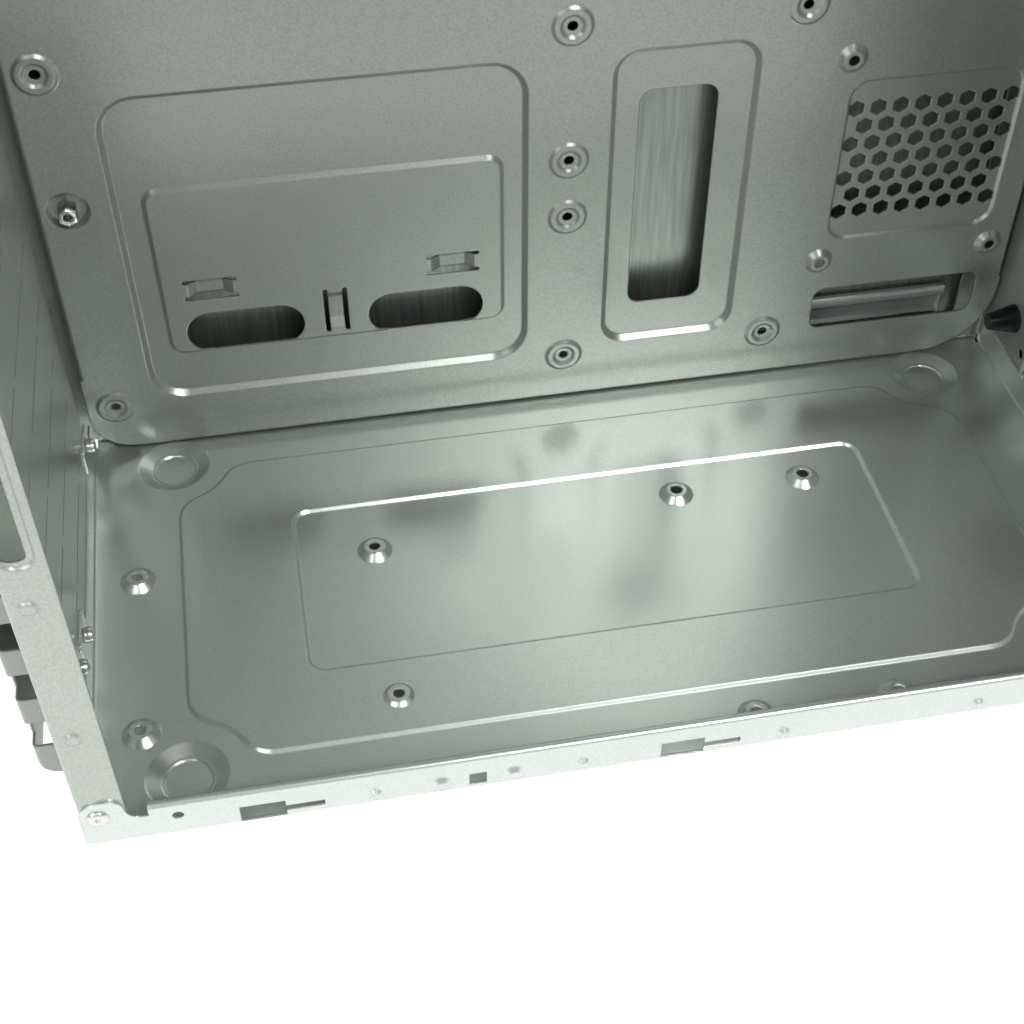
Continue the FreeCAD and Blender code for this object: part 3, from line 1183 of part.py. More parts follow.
def switch(y):
    """Push switch on the connector board, with the bore that takes the button's stem."""
    half = SWITCH_WIDTH / 2
    body = box(BOARD_FACE, SWITCH_FACE, y - half, y + half, CONTROL_Z - half, CONTROL_Z + half)
    bore = rod(STEM_RADIUS + RUN_GAP, V(SWITCH_FACE, y, CONTROL_Z), V(-1, 0, 0), SWITCH_BORE)
    return body.cut(bore)


def front_io_board():
    """Connector board behind the bezel, with holes for its corner screws."""
    back = BOARD_FACE - IO_BOARD_THICK
    low, high = CONTROL_Z - IO_BOARD_HALF_HEIGHT, CONTROL_Z + IO_BOARD_HALF_HEIGHT
    board = box(back, BOARD_FACE, -CONTROL_HALF_LENGTH, CONTROL_HALF_LENGTH, low, high)
    start = back - IO_BOARD_THICK
    reach = 3 * IO_BOARD_THICK
    return board.cut([rod(IO_BOSS_BORE, V(start, y, z), V(1, 0, 0), reach) for y, z in io_screw_places()])


def io_board_screws():
    """Four screws that hold the connector board to the bosses of the bezel."""
    back = BOARD_FACE - IO_BOARD_THICK
    along = V(1, 0, 0)
    screws = []
    for y, z in io_screw_places():
        head = rod(IO_SCREW_HEAD, V(back - IO_SCREW_HEAD_HEIGHT, y, z), along, IO_SCREW_HEAD_HEIGHT)
        screws.append(head.fuse(rod(IO_SCREW_RADIUS, V(back, y, z), along, IO_SCREW_LENGTH)))
    return Part.Compound(screws)


def usb_sockets():
    """Two sockets with a metal shell, a cavity and a tongue in it."""
    sockets = []
    for y in USB_PLACES:
        wide, tall = USB_WIDTH / 2, USB_HEIGHT / 2
        shell = box(BOARD_FACE, CONTROL_FACE, y - wide, y + wide, CONTROL_Z - tall, CONTROL_Z + tall)
        wide, tall = wide - USB_WALL, tall - USB_WALL
        back, top = CONTROL_FACE - USB_CAVITY, CONTROL_Z + tall
        cavity = box(back, CONTROL_FACE, y - wide, y + wide, CONTROL_Z - tall, top)
        wide, top = wide - USB_TONGUE_GAP, top - USB_TONGUE_GAP
        tongue = box(back, CONTROL_FACE - USB_TONGUE_GAP, y - wide, y + wide, top - USB_TONGUE, top)
        sockets.append(shell.cut(cavity).fuse(tongue))
    return Part.Compound(sockets)


def audio_sockets():
    """Two round sockets with their bores."""
    along = V(1, 0, 0)
    sockets = []
    for y in JACK_PLACES:
        body = rod(JACK_RADIUS, V(BOARD_FACE, y, CONTROL_Z), along, CONTROL_FACE - BOARD_FACE)
        bore = rod(JACK_BORE, V(BOARD_FACE + BEND, y, CONTROL_Z), along, CONTROL_FACE - BOARD_FACE)
        sockets.append(body.cut(bore))
    return Part.Compound(sockets)


def led_light_pipes():
    """Two clear pipes from the connector board to the control strip."""
    length = CONTROL_FACE - BOARD_FACE
    starts = [V(BOARD_FACE, y, CONTROL_Z) for y in LIGHT_PLACES]
    return Part.Compound([rod(LIGHT_RADIUS, start, V(1, 0, 0), length) for start in starts])


def save(name, shape):
    """Writes one piece to its file."""
    shape.removeSplitter().exportStep(os.path.join("parts", name + ".step"))


os.makedirs("parts", exist_ok=True)
save("bottom_pan", bottom_pan())
save("top_panel", top_panel())
save("rear_panel", rear_panel())
save("slot_screw_guard", slot_screw_guard())
save("motherboard_tray", motherboard_tray())
save("board_standoff", board_standoff())
save("front_frame", front_frame())
save("psu_ledge", psu_ledge())
save("right_side_panel", right_side_panel())
save("side_panel_screws", side_panel_screws())
foot_names = ("rear_right", "rear_left", "front_right", "front_left")
for foot_name, foot_place in zip(foot_names, foot_places()):
    save("foot_pad_" + foot_name, foot_pad(*foot_place))
save("front_bezel", front_bezel())
save("power_button", button(POWER_Y, POWER_RADIUS))
save("reset_button", button(RESET_Y, RESET_RADIUS))
save("power_switch", switch(POWER_Y))
save("reset_switch", switch(RESET_Y))
save("front_io_board", front_io_board())
save("io_board_screws", io_board_screws())
save("usb_sockets", usb_sockets())
save("audio_sockets", audio_sockets())
save("led_light_pipes", led_light_pipes())
save("rear_rivets", rivet_group(REAR_RIVETS))
save("front_rivets", rivet_group(FRONT_RIVETS))
save("corner_rivets", rivet_group(CORNER_RIVETS))
save("tray_rivets", rivet_group(TRAY_RIVETS))
save("guard_rivets", rivet_group(GUARD_RIVETS))
save("ledge_rivets", rivet_group(LEDGE_RIVETS))
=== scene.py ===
import math

import bmesh
import bpy
from mathutils import Matrix, Vector


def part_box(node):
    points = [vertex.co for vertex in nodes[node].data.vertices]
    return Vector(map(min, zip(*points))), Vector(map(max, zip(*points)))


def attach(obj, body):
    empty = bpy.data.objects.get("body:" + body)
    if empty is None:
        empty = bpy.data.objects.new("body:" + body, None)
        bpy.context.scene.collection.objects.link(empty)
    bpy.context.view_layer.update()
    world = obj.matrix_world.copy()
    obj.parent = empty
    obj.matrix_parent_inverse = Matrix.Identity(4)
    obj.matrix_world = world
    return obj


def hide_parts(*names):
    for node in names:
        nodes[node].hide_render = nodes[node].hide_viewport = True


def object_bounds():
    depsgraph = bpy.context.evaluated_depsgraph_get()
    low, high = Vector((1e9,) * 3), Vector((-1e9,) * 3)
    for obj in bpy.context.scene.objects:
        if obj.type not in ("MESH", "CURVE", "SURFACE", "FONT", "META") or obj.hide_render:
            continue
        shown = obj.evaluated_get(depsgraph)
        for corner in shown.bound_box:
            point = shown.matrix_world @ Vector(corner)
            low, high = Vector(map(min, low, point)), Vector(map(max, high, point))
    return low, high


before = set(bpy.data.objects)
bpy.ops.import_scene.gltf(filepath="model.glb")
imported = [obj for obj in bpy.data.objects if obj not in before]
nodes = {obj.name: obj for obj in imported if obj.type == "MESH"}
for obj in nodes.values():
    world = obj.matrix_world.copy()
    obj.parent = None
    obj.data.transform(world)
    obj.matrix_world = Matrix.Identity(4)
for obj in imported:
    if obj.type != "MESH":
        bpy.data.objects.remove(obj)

cad_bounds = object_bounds()

# Floor of the case: one galvanised steel sheet, folded up at its edges and pressed with feet,
# a raised field and drive bosses. The zinc is smooth and mirrors what stands on it softly.
EVEN = (1.0, 1.0, 1.0)
NOISE_SPAN = (0.2, 0.8)
SHADE_SPAN = (0.3, 0.7)
EDGE_WEAR = 0.0008
EDGE_SAMPLES = 4
ROLLING = (60.0, 6.0)
ROLLING_DEPTH = 0.0002
SPECKLE = (1500.0, 3.0)
CLOUDS = (14.0, 3.0)
ROUGH_VARIES = 0.012


def finish(name):
    """A new material with its principled shader, ready for more nodes."""
    material = bpy.data.materials.new(name)
    material.use_nodes = True
    return material, material.node_tree, material.node_tree.nodes["Principled BSDF"]


def grain(tree, scale, detail, stretch=EVEN):
    """Noise on the piece's own coordinates, drawn out by the stretch."""
    place = tree.nodes.new("ShaderNodeTexCoord")
    drawn = tree.nodes.new("ShaderNodeMapping")
    drawn.inputs["Scale"].default_value = stretch
    noise = tree.nodes.new("ShaderNodeTexNoise")
    noise.inputs["Scale"].default_value = scale
    noise.inputs["Detail"].default_value = detail
    tree.links.new(place.outputs["Object"], drawn.inputs["Vector"])
    tree.links.new(drawn.outputs["Vector"], noise.inputs["Vector"])
    return noise.outputs["Fac"]


def carried(tree, value, before, after):
    """Carries a value from one span over to another, held at both ends."""
    span = tree.nodes.new("ShaderNodeMapRange")
    for label, number in zip(("From Min", "From Max", "To Min", "To Max"), (*before, *after)):
        span.inputs[label].default_value = number
    tree.links.new(value, span.inputs["Value"])
    return span.outputs["Result"]


def shades(tree, noise, dark, light):
    """Blends two colours by a noise."""
    ramp = tree.nodes.new("ShaderNodeValToRGB")
    for element, position, colour in zip(ramp.color_ramp.elements, SHADE_SPAN, (dark, light)):
        element.position = position
        element.color = (*colour, 1)
    tree.links.new(noise, ramp.inputs["Fac"])
    return ramp.outputs["Color"]


def roughen(tree, shader, noise, strength, distance):
    """Fine relief of a surface, with its sharp edges worn a little round."""
    soft_edge = tree.nodes.new("ShaderNodeBevel")
    soft_edge.samples = EDGE_SAMPLES
    soft_edge.inputs["Radius"].default_value = EDGE_WEAR
    bump = tree.nodes.new("ShaderNodeBump")
    bump.inputs["Strength"].default_value = strength
    bump.inputs["Distance"].default_value = distance
    tree.links.new(soft_edge.outputs["Normal"], bump.inputs["Normal"])
    tree.links.new(noise, bump.inputs["Height"])
    tree.links.new(bump.outputs["Normal"], shader.inputs["Normal"])


def zinc_sheet(name, dark, light, metallic, rough, relief, stretch=EVEN):
    """Bright metal: rolling lines drawn out by the stretch, over fine speckles and faint clouds."""
    material, tree, shader = finish(name)
    rolled = grain(tree, *ROLLING, stretch)
    varied = carried(tree, grain(tree, *CLOUDS), NOISE_SPAN, (rough - ROUGH_VARIES, rough + ROUGH_VARIES))
    shader.inputs["Metallic"].default_value = metallic
    tree.links.new(shades(tree, grain(tree, *SPECKLE), dark, light), shader.inputs["Base Color"])
    tree.links.new(varied, shader.inputs["Roughness"])
    roughen(tree, shader, rolled, relief, ROLLING_DEPTH)
    return material


def coat(name, material):
    """Gives a CAD node its finish."""
    nodes[name].data.materials.clear()
    nodes[name].data.materials.append(material)


# Painted light: the floor's zinc takes a tone about twice as light as the walls' zinc, for the light that
# falls on the upward floor.
floor_zinc_painted_light = zinc_sheet("floor_zinc_painted_light", dark=(0.605, 0.655, 0.62), light=(0.705, 0.755, 0.72),
                        metallic=0.72, rough=0.24, relief=0.02, stretch=(12.0, 1.0, 12.0))
coat("bottom_pan", floor_zinc_painted_light)

# Rear wall, board tray and front wall: galvanised sheet with the rolling lines upright, in a darker tone
# than the floor's that is painted shade. The guard and the ledge are cut from the same sheet, and the
# outer faces of the rear wall and its near post get a lighter tone that is painted light.
OUTWARD_LEAST = 0.3
WALL_SHADED_DARK = (0.29, 0.315, 0.285)
WALL_SHADED_LIGHT = (0.36, 0.385, 0.355)
PAINTED_LIGHT_GAIN = 1.4


def reckoned(tree, operation, *values):
    """Result of a math node on values that are sockets or plain numbers."""
    node = tree.nodes.new("ShaderNodeMath")
    node.operation = operation
    for socket, value in zip(node.inputs, values):
        if isinstance(value, bpy.types.NodeSocket):
            tree.links.new(value, socket)
        else:
            socket.default_value = value
    return node.outputs["Value"]


def outer_side(tree, outward):
    """One on the faces that look along one of the outward directions, zero on the others."""
    facing = tree.nodes.new("ShaderNodeNewGeometry")
    outer = 0.0
    for direction in outward:
        along = tree.nodes.new("ShaderNodeVectorMath")
        along.operation = "DOT_PRODUCT"
        along.inputs[1].default_value = direction
        tree.links.new(facing.outputs["True Normal"], along.inputs[0])
        looks_out = reckoned(tree, "GREATER_THAN", along.outputs["Value"], OUTWARD_LEAST)
        outer = reckoned(tree, "MAXIMUM", looks_out, outer)
    return outer


def two_sides(tree, shader, outer, inner_colour):
    """Colours a sheet's inner side, and gives the socket for the colour of its outer side."""
    sides = tree.nodes.new("ShaderNodeMix")
    sides.data_type = "RGBA"
    tree.links.new(outer, sides.inputs["Factor"])
    tree.links.new(inner_colour, sides.inputs["A"])
    tree.links.new(sides.outputs["Result"], shader.inputs["Base Color"])
    return sides.inputs["B"]


# Painted shade: the walls' zinc is a darker copy of the floor's, for the lesser light on the upright sheets.
wall_zinc_painted_shade, rear_zinc_painted_light_and_shade = [
    zinc_sheet(name, WALL_SHADED_DARK, WALL_SHADED_LIGHT, metallic=0.5, rough=0.28, relief=0.03, stretch=(14.0, 14.0, 0.6))
    for name in ("wall_zinc_painted_shade", "rear_zinc_painted_light_and_shade")
]
for sheet_name in ("motherboard_tray", "front_frame", "slot_screw_guard", "psu_ledge"):
    coat(sheet_name, wall_zinc_painted_shade)
rear_tree = rear_zinc_painted_light_and_shade.node_tree
rear_shader = rear_tree.nodes["Principled BSDF"]
rear_inner = rear_shader.inputs["Base Color"].links[0].from_socket
# Painted light: the faces that look to the open side and out of the rear take the wall tones 1.4 times
# lighter, for the light that falls on them.
painted_light_faces = outer_side(rear_tree, ((0, -1, 0), (-1, 0, 0)))
painted_light_tones = [[PAINTED_LIGHT_GAIN * part for part in tone] for tone in (WALL_SHADED_DARK, WALL_SHADED_LIGHT)]
painted_light_colour = shades(rear_tree, grain(rear_tree, *SPECKLE), *painted_light_tones)
rear_tree.links.new(painted_light_colour, two_sides(rear_tree, rear_shader, painted_light_faces, rear_inner))
coat("rear_panel", rear_zinc_painted_light_and_shade)

# Folded edges that finish the sheets behind the tray: the tray's foot leans back to just above the
# floor, and the far rail stands up behind the lower window and ends in a hem. Both are folded from
# the galvanised sheet.
MM = 0.001
CHASSIS = "chassis"
SHARP_ANGLE = math.radians(38)
SHEET = 0.7
TRAY_FACE = 75.0
FOOT_LEAN = 2.6
FOOT_REAR_INSET = 14.0
FOOT_FRONT_INSET = 26.0
RAIL_TOP = 22.7
RISE_TOP = 35.6
RISE_INSET = 18.4
HEM_WIDTH = 3.0
HEM_LEG = 4.0
HEM_TURN = 1.4


def shown(name, form):
    """Object of a finished form, smooth except at its sharp edges."""
    mesh = bpy.data.meshes.new(name)
    form.to_mesh(mesh)
    form.free()
    mesh.shade_smooth()
    mesh.set_sharp_from_angle(angle=SHARP_ANGLE)
    thing = bpy.data.objects.new(name, mesh)
    bpy.context.scene.collection.objects.link(thing)
    return thing


def install(thing, material, slot, body, *replaced):
    """Gives a piece its finish and its body, and lets it stand for CAD nodes."""
    thing.data.materials.append(material)
    if replaced:
        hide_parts(*replaced)
    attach(thing, body)


def folded(name, corners, start, end, turn):
    """Strip of sheet from start to end along X, through corners in y and z, folded to a turn."""
    form = bmesh.new()
    line = [form.verts.new((start * MM, y * MM, z * MM)) for y, z in corners]
    run = [form.edges.new(pair) for pair in zip(line, line[1:])]
    grown = bmesh.ops.extrude_edge_only(form, edges=run)["geom"]
    far_end = [part for part in grown if isinstance(part, bmesh.types.BMVert)]
    bmesh.ops.translate(form, vec=((end - start) * MM, 0, 0), verts=far_end)
    folds = [edge for edge in form.edges if len(edge.link_faces) == 2]
    if folds:
        bmesh.ops.bevel(form, geom=folds, offset=turn * MM, segments=5, profile=0.5,
                        affect="EDGES", material=-1)
    bmesh.ops.recalc_face_normals(form, faces=form.faces)
    bmesh.ops.solidify(form, geom=form.faces[:], thickness=SHEET * MM)
    bmesh.ops.recalc_face_normals(form, faces=form.faces)
    return shown(name, form)


low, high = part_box("motherboard_tray")
tray_base = low.z / MM
foot_corners = ((TRAY_FACE, tray_base), (TRAY_FACE + FOOT_LEAN, tray_base - FOOT_LEAN))
tray_foot = folded("tray_foot", foot_corners, low.x / MM + FOOT_REAR_INSET,
                   high.x / MM - FOOT_FRONT_INSET, turn=0.0)
install(tray_foot, wall_zinc_painted_shade, "galvanised_steel", CHASSIS)
low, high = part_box("bottom_pan")
rail_face = high.y / MM
hem_face = rail_face - HEM_WIDTH
rise_corners = ((rail_face, RAIL_TOP), (rail_face, RISE_TOP), (hem_face, RISE_TOP),
                (hem_face, RISE_TOP - HEM_LEG))
far_rise = folded("far_rail_rise", rise_corners, low.x / MM + RISE_INSET, high.x / MM - RISE_INSET, HEM_TURN)
install(far_rise, floor_zinc_painted_light, "galvanised_steel", CHASSIS)

# Stand-off of the board: a chromed hexagonal pillar turned with a threaded bore and a stud, screwed
# into the one dish of the tray that has no ring.
UP = Vector((0, 0, 1))
TURNED_STEPS = 28
WELD = 0.001
THREAD_ROOT = 0.86
CROWN_CHAMFER = 0.45
STANDOFF_STUD = 3.5


def lathe(profile, steps=TURNED_STEPS):
    """Form spun about the upright axis from pairs of radius and height in millimetres."""
    form = bmesh.new()
    line = [form.verts.new((radius * MM, 0.0, height * MM)) for radius, height in profile]
    run = [form.edges.new(pair) for pair in zip(line, line[1:])]
    bmesh.ops.spin(form, geom=line + run, axis=UP, cent=(0, 0, 0), dvec=(0, 0, 0),
                   angle=2 * math.pi, steps=steps, use_merge=True)
    bmesh.ops.remove_doubles(form, verts=form.verts, dist=WELD * MM)
    bmesh.ops.recalc_face_normals(form, faces=form.faces)
    return form


def sink(form, rim, depth, scale):
    """Walls down from a rim of edges, drawn in by the scale; gives the edges of the new rim."""
    grown = bmesh.ops.extrude_edge_only(form, edges=rim)["geom"]
    corners = [part for part in grown if isinstance(part, bmesh.types.BMVert)]
    bmesh.ops.scale(form, vec=(scale, scale, 1.0), verts=corners)
    bmesh.ops.translate(form, vec=(0, 0, depth * MM), verts=corners)
    return [part for part in grown if isinstance(part, bmesh.types.BMEdge) and len(part.link_faces) == 1]


def edges_of(corners):
    """The edges that meet at some corners, each once and in order."""
    return list(dict.fromkeys(edge for corner in corners for edge in corner.link_edges))


def repeated(name, form, places):
    """Object made of one form, set at each place with its height along the place's axis."""
    pattern = bpy.data.meshes.new("pattern")
    form.to_mesh(pattern)
    form.free()
    whole = bmesh.new()
    for start, axis in places:
        done = len(whole.verts)
        whole.from_mesh(pattern)
        whole.verts.ensure_lookup_table()
        turn = UP.rotation_difference(Vector(axis)).to_matrix().to_4x4()
        bmesh.ops.transform(whole, matrix=Matrix.Translation(start) @ turn, verts=whole.verts[done:])
    bpy.data.meshes.remove(pattern)
    return shown(name, whole)


def hexagon_pillar(across, height, bore, threads, pitch, stud):
    """Hexagonal pillar from its seat upwards, with a threaded bore and a stud below."""
    form = bmesh.new()
    corner = across / math.sqrt(3) * MM
    middle = height * MM / 2
    bmesh.ops.create_cone(form, cap_ends=False, segments=6, radius1=corner, radius2=corner,
                          depth=height * MM, matrix=Matrix.Translation((0, 0, middle)))
    crown = [edge for edge in form.edges if all(end.co.z > middle for end in edge.verts)]
    mouth = bmesh.ops.create_circle(form, cap_ends=False, segments=24, radius=bore * MM,
                                    matrix=Matrix.Translation((0, 0, height * MM)))
    bmesh.ops.bridge_loops(form, edges=crown + edges_of(mouth["verts"]))
    bmesh.ops.bevel(form, geom=crown, offset=CROWN_CHAMFER * MM, segments=2, profile=0.5,
                    affect="EDGES", material=-1)
    open_edges = [edge for edge in form.edges if edge.is_boundary]
    rim = [edge for edge in open_edges if all(end.co.z > middle for end in edge.verts)]
    for half_turn in range(2 * threads):
        rim = sink(form, rim, -pitch / 2, THREAD_ROOT if half_turn % 2 == 0 else 1 / THREAD_ROOT)
    bmesh.ops.edgeloop_fill(form, edges=rim)
    foot = [edge for edge in form.edges if edge.is_boundary]
    foot = sink(form, foot, 0.0, 2 * bore / across)
    foot = sink(form, foot, -stud, 1.0)
    bmesh.ops.edgeloop_fill(form, edges=foot)
    bmesh.ops.recalc_face_normals(form, faces=form.faces)
    return form


chrome = zinc_sheet("chrome", dark=(0.62, 0.62, 0.60), light=(0.72, 0.72, 0.70),
                    metallic=1.0, rough=0.14, relief=0.01)
low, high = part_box("board_standoff")
standoff_seat = Vector(((low.x + high.x) / 2, high.y - STANDOFF_STUD * MM, (low.z + high.z) / 2))
pillar = hexagon_pillar(across=5.5, height=6.5, bore=1.45, threads=6, pitch=0.8, stud=STANDOFF_STUD)
install(repeated("hexagon_standoff", pillar, [(standoff_seat, (0, -1, 0))]), chrome, "zinc_steel",
        CHASSIS, "board_standoff")

# Rivets: drawn aluminium blind rivets with a domed head, the hole of the pulled pin in it and a
# swollen tail on the inside. They hold walls, floor, roof, tray, guard and ledge together.
RIVET_HEAD = 3.1
RIVET_RISE = 1.1
RIVET_PROFILE = (
    (0.0, -0.5), (0.6, -0.5), (0.65, -1.0), (0.85, -RIVET_RISE), (1.9, -1.08), (2.55, -0.9), (2.95, -0.5),
    (RIVET_HEAD, 0.0), (1.6, 0.0), (1.6, 1.4), (2.1, 1.5), (2.4, 2.0), (2.4, 3.5), (2.1, 4.2), (1.4, 4.5),
    (0.95, 4.6), (0.8, 4.3), (0.0, 4.2),
)
rivet_metal = zinc_sheet("rivet_metal", dark=(0.68, 0.69, 0.67), light=(0.78, 0.79, 0.77),
                         metallic=0.9, rough=0.24, relief=0.04)


def rivet_lines(name):
    """Seats of a rivet set's heads and middles of its rivets, read off the box of its node."""
    low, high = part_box(name)
    seats = [(start + RIVET_RISE * MM, end - RIVET_RISE * MM) for start, end in zip(low, high)]
    middles = [(start + RIVET_HEAD * MM, end - RIVET_HEAD * MM) for start, end in zip(low, high)]
    return seats, middles


def rivet_set(name, places):
    """One set of rivets in place of its CAD node."""
    thing = repeated(name + "_pulled", lathe(RIVET_PROFILE), places)
    install(thing, rivet_metal, "rivet_aluminium", CHASSIS, name)


def wall_rivets(name, seat_end, inwards):
    """A set in an end wall: its heads sit at one end of the box, with a rivet at each corner."""
    seats, (_, across, upwards) = rivet_lines(name)
    rivet_set(name, [((seats[0][seat_end], y, z), (inwards, 0, 0)) for y in across for z in upwards])


wall_rivets("rear_rivets", 0, 1)
wall_rivets("front_rivets", 1, -1)
seats, (along, _, upwards) = rivet_lines("corner_rivets")
rivet_set("corner_rivets", [((x, y, z), (0, -math.copysign(1, y), 0))
                            for x in along for y in seats[1] for z in upwards])
seats, (along, _, (lowest, highest)) = rivet_lines("tray_rivets")
rivet_set("tray_rivets", [((x, seats[1][1], z), (0, -1, 0))
                          for x in along for z in (lowest, (lowest + highest) / 2, highest)])
wall_rivets("guard_rivets", 0, 1)
seats, (along, _, upwards) = rivet_lines("ledge_rivets")
rivet_set("ledge_rivets", [((x, seats[1][0], upwards[0]), (0, 1, 0)) for x in along])

# Right side panel and roof: sheet painted black on the outside and left bare within, so the
# paint is kept to the faces that look outwards. Two cross-head screws hold the panel's rear lip.
PAINT_BLACK = (0.012, 0.012, 0.013, 1)
# Painted shade: the bare inside takes a darker copy of the galvanised zinc, for the shade in the narrow
# space behind the tray.
BARE_SHADED_DARK = (0.22, 0.245, 0.225)
BARE_SHADED_LIGHT = (0.34, 0.365, 0.335)
BARE_METALLIC = 0.85
PANEL_ROUGH = 0.38
PANEL_RELIEF = 0.06
STREAKS = (70.0, 5.0, (10.0, 10.0, 0.5))
PAINT_GRAIN = (900.0, 2.0)
SCREW_HEAD = 4.0
SCREW_RISE = 2.4
STAR_WAIST = 0.42
RECESS_DEPTH = 0.6
RECESS_TAPER = 0.6


def painted_outside(name, outward):
    """Bare sheet with black paint on the faces that look along one of the outward directions."""
    material, tree, shader = finish(name)
    painted = outer_side(tree, outward)
    bare = shades(tree, grain(tree, *STREAKS), BARE_SHADED_DARK, BARE_SHADED_LIGHT)
    two_sides(tree, shader, painted, bare).default_value = PAINT_BLACK
    tree.links.new(carried(tree, painted, (0.0, 1.0), (BARE_METALLIC, 0.0)), shader.inputs["Metallic"])
    shader.inputs["Roughness"].default_value = PANEL_ROUGH
    roughen(tree, shader, grain(tree, *PAINT_GRAIN), PANEL_RELIEF, ROLLING_DEPTH)
    return material


def cross_screw(head, rise, crown, recess, shank, length):
    """Screw with a rounded head, a four-pointed recess and a blunt end; it rises into the hole."""
    form = lathe(((crown, -rise), (0.5 * (crown + head), -0.92 * rise), (0.9 * head, -0.6 * rise),
                  (head, -0.25 * rise), (head, 0.0), (shank, 0.0), (shank, 0.9 * length),
                  (0.7 * shank, length), (0.0, length)))
    rim = [edge for edge in form.edges if edge.is_boundary]
    star = bmesh.ops.create_circle(form, cap_ends=False, segments=8, radius=recess * MM,
                                   matrix=Matrix.Translation((0, 0, -rise * MM)))["verts"]
    bmesh.ops.scale(form, vec=(STAR_WAIST, STAR_WAIST, 1.0), verts=star[::2])
    bmesh.ops.bridge_loops(form, edges=rim + edges_of(star))
    mouth = [edge for edge in form.edges if edge.is_boundary]
    bmesh.ops.edgeloop_fill(form, edges=sink(form, mouth, RECESS_DEPTH * rise, RECESS_TAPER))
    bmesh.ops.recalc_face_normals(form, faces=form.faces)
    return form


coat("right_side_panel", painted_outside("panel_paint", ((0, 1, 0), (-1, 0, 0))))
coat("top_panel", painted_outside("roof_paint", ((0, 0, 1), (0, 1, 0))))
screw_zinc = zinc_sheet("screw_zinc", dark=(0.60, 0.60, 0.57), light=(0.70, 0.70, 0.67),
                        metallic=1.0, rough=0.28, relief=0.03)
low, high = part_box("side_panel_screws")
screw_places = [((low.x + SCREW_RISE * MM, (low.y + high.y) / 2, z), (1, 0, 0))
                for z in (low.z + SCREW_HEAD * MM, high.z - SCREW_HEAD * MM)]
panel_screw = cross_screw(SCREW_HEAD, SCREW_RISE, crown=2.6, recess=2.2, shank=1.6, length=6.0)
install(repeated("panel_cross_screws", panel_screw, screw_places), screw_zinc, "zinc_steel",
        "right_side_panel", "side_panel_screws")

# Foot pads: moulded black rubber, rounded at the edges and grooved round the side, pressed onto the
# dishes of the floor.
PITS = (1400.0, 2.0)
MOULD_CLOUDS = (30.0, 2.0)
PIT_DEPTH = 0.0003
PALER = 1.25
SMOOTHER = 0.03
DULLER = 0.04
PAD_PROFILE = (
    (0.0, 1.6), (1.8, 1.6), (2.2, 0.2), (2.6, 0.0), (5.4, 0.0), (6.0, 0.25), (6.25, 0.8), (6.5, 2.2),
    (6.25, 2.5), (6.3, 3.1), (6.7, 3.4), (6.95, 5.4), (6.8, 6.0), (0.0, 6.0),
)


def moulded(name, colour, rough, relief):
    """Moulded plastic or rubber with a fine grain."""
    material, tree, shader = finish(name)
    cloudy = grain(tree, *MOULD_CLOUDS)
    paler = [PALER * part for part in colour]
    varied = carried(tree, cloudy, NOISE_SPAN, (rough - SMOOTHER, rough + DULLER))
    tree.links.new(shades(tree, cloudy, colour, paler), shader.inputs["Base Color"])
    tree.links.new(varied, shader.inputs["Roughness"])
    roughen(tree, shader, grain(tree, *PITS), relief, PIT_DEPTH)
    return material


pad_rubber = moulded("pad_rubber", (0.015, 0.015, 0.015), rough=0.75, relief=0.3)
for corner_name in ("rear_left", "rear_right", "front_left", "front_right"):
    low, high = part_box("foot_pad_" + corner_name)
    pad_place = ((low.x + high.x) / 2, (low.y + high.y) / 2, low.z)
    install(repeated("grooved_pad_" + corner_name, lathe(PAD_PROFILE), [(pad_place, UP)]), pad_rubber,
            "foot_rubber", CHASSIS, "foot_pad_" + corner_name)

# Front bezel: a moulded black shell, finely grained and dull outside. Its snap clips pass the front
# wall and are smooth, so the finish turns glossy just behind that wall.
CLIP_ROUGH = 0.1
SHELL_ROUGH = 0.42
SHELL_DARK = (0.006, 0.006, 0.007)
SHELL_LIGHT = (0.010, 0.010, 0.011)
SHELL_RELIEF = 0.2
GLOSS_REACH = 2.0
front_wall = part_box("front_frame")[1].x
bezel_plastic, bezel_tree, bezel_shader = finish("bezel_plastic")
bezel_place = bezel_tree.nodes.new("ShaderNodeTexCoord")
bezel_split = bezel_tree.nodes.new("ShaderNodeSeparateXYZ")
bezel_tree.links.new(bezel_place.outputs["Object"], bezel_split.inputs["Vector"])
bezel_rough = carried(bezel_tree, bezel_split.outputs["X"], (front_wall - GLOSS_REACH * MM, front_wall),
                      (CLIP_ROUGH, SHELL_ROUGH))
bezel_colour = shades(bezel_tree, grain(bezel_tree, *MOULD_CLOUDS), SHELL_DARK, SHELL_LIGHT)
bezel_tree.links.new(bezel_rough, bezel_shader.inputs["Roughness"])
bezel_tree.links.new(bezel_colour, bezel_shader.inputs["Base Color"])
roughen(bezel_tree, bezel_shader, grain(bezel_tree, *PITS), SHELL_RELIEF, ROLLING_DEPTH)
coat("front_bezel", bezel_plastic)

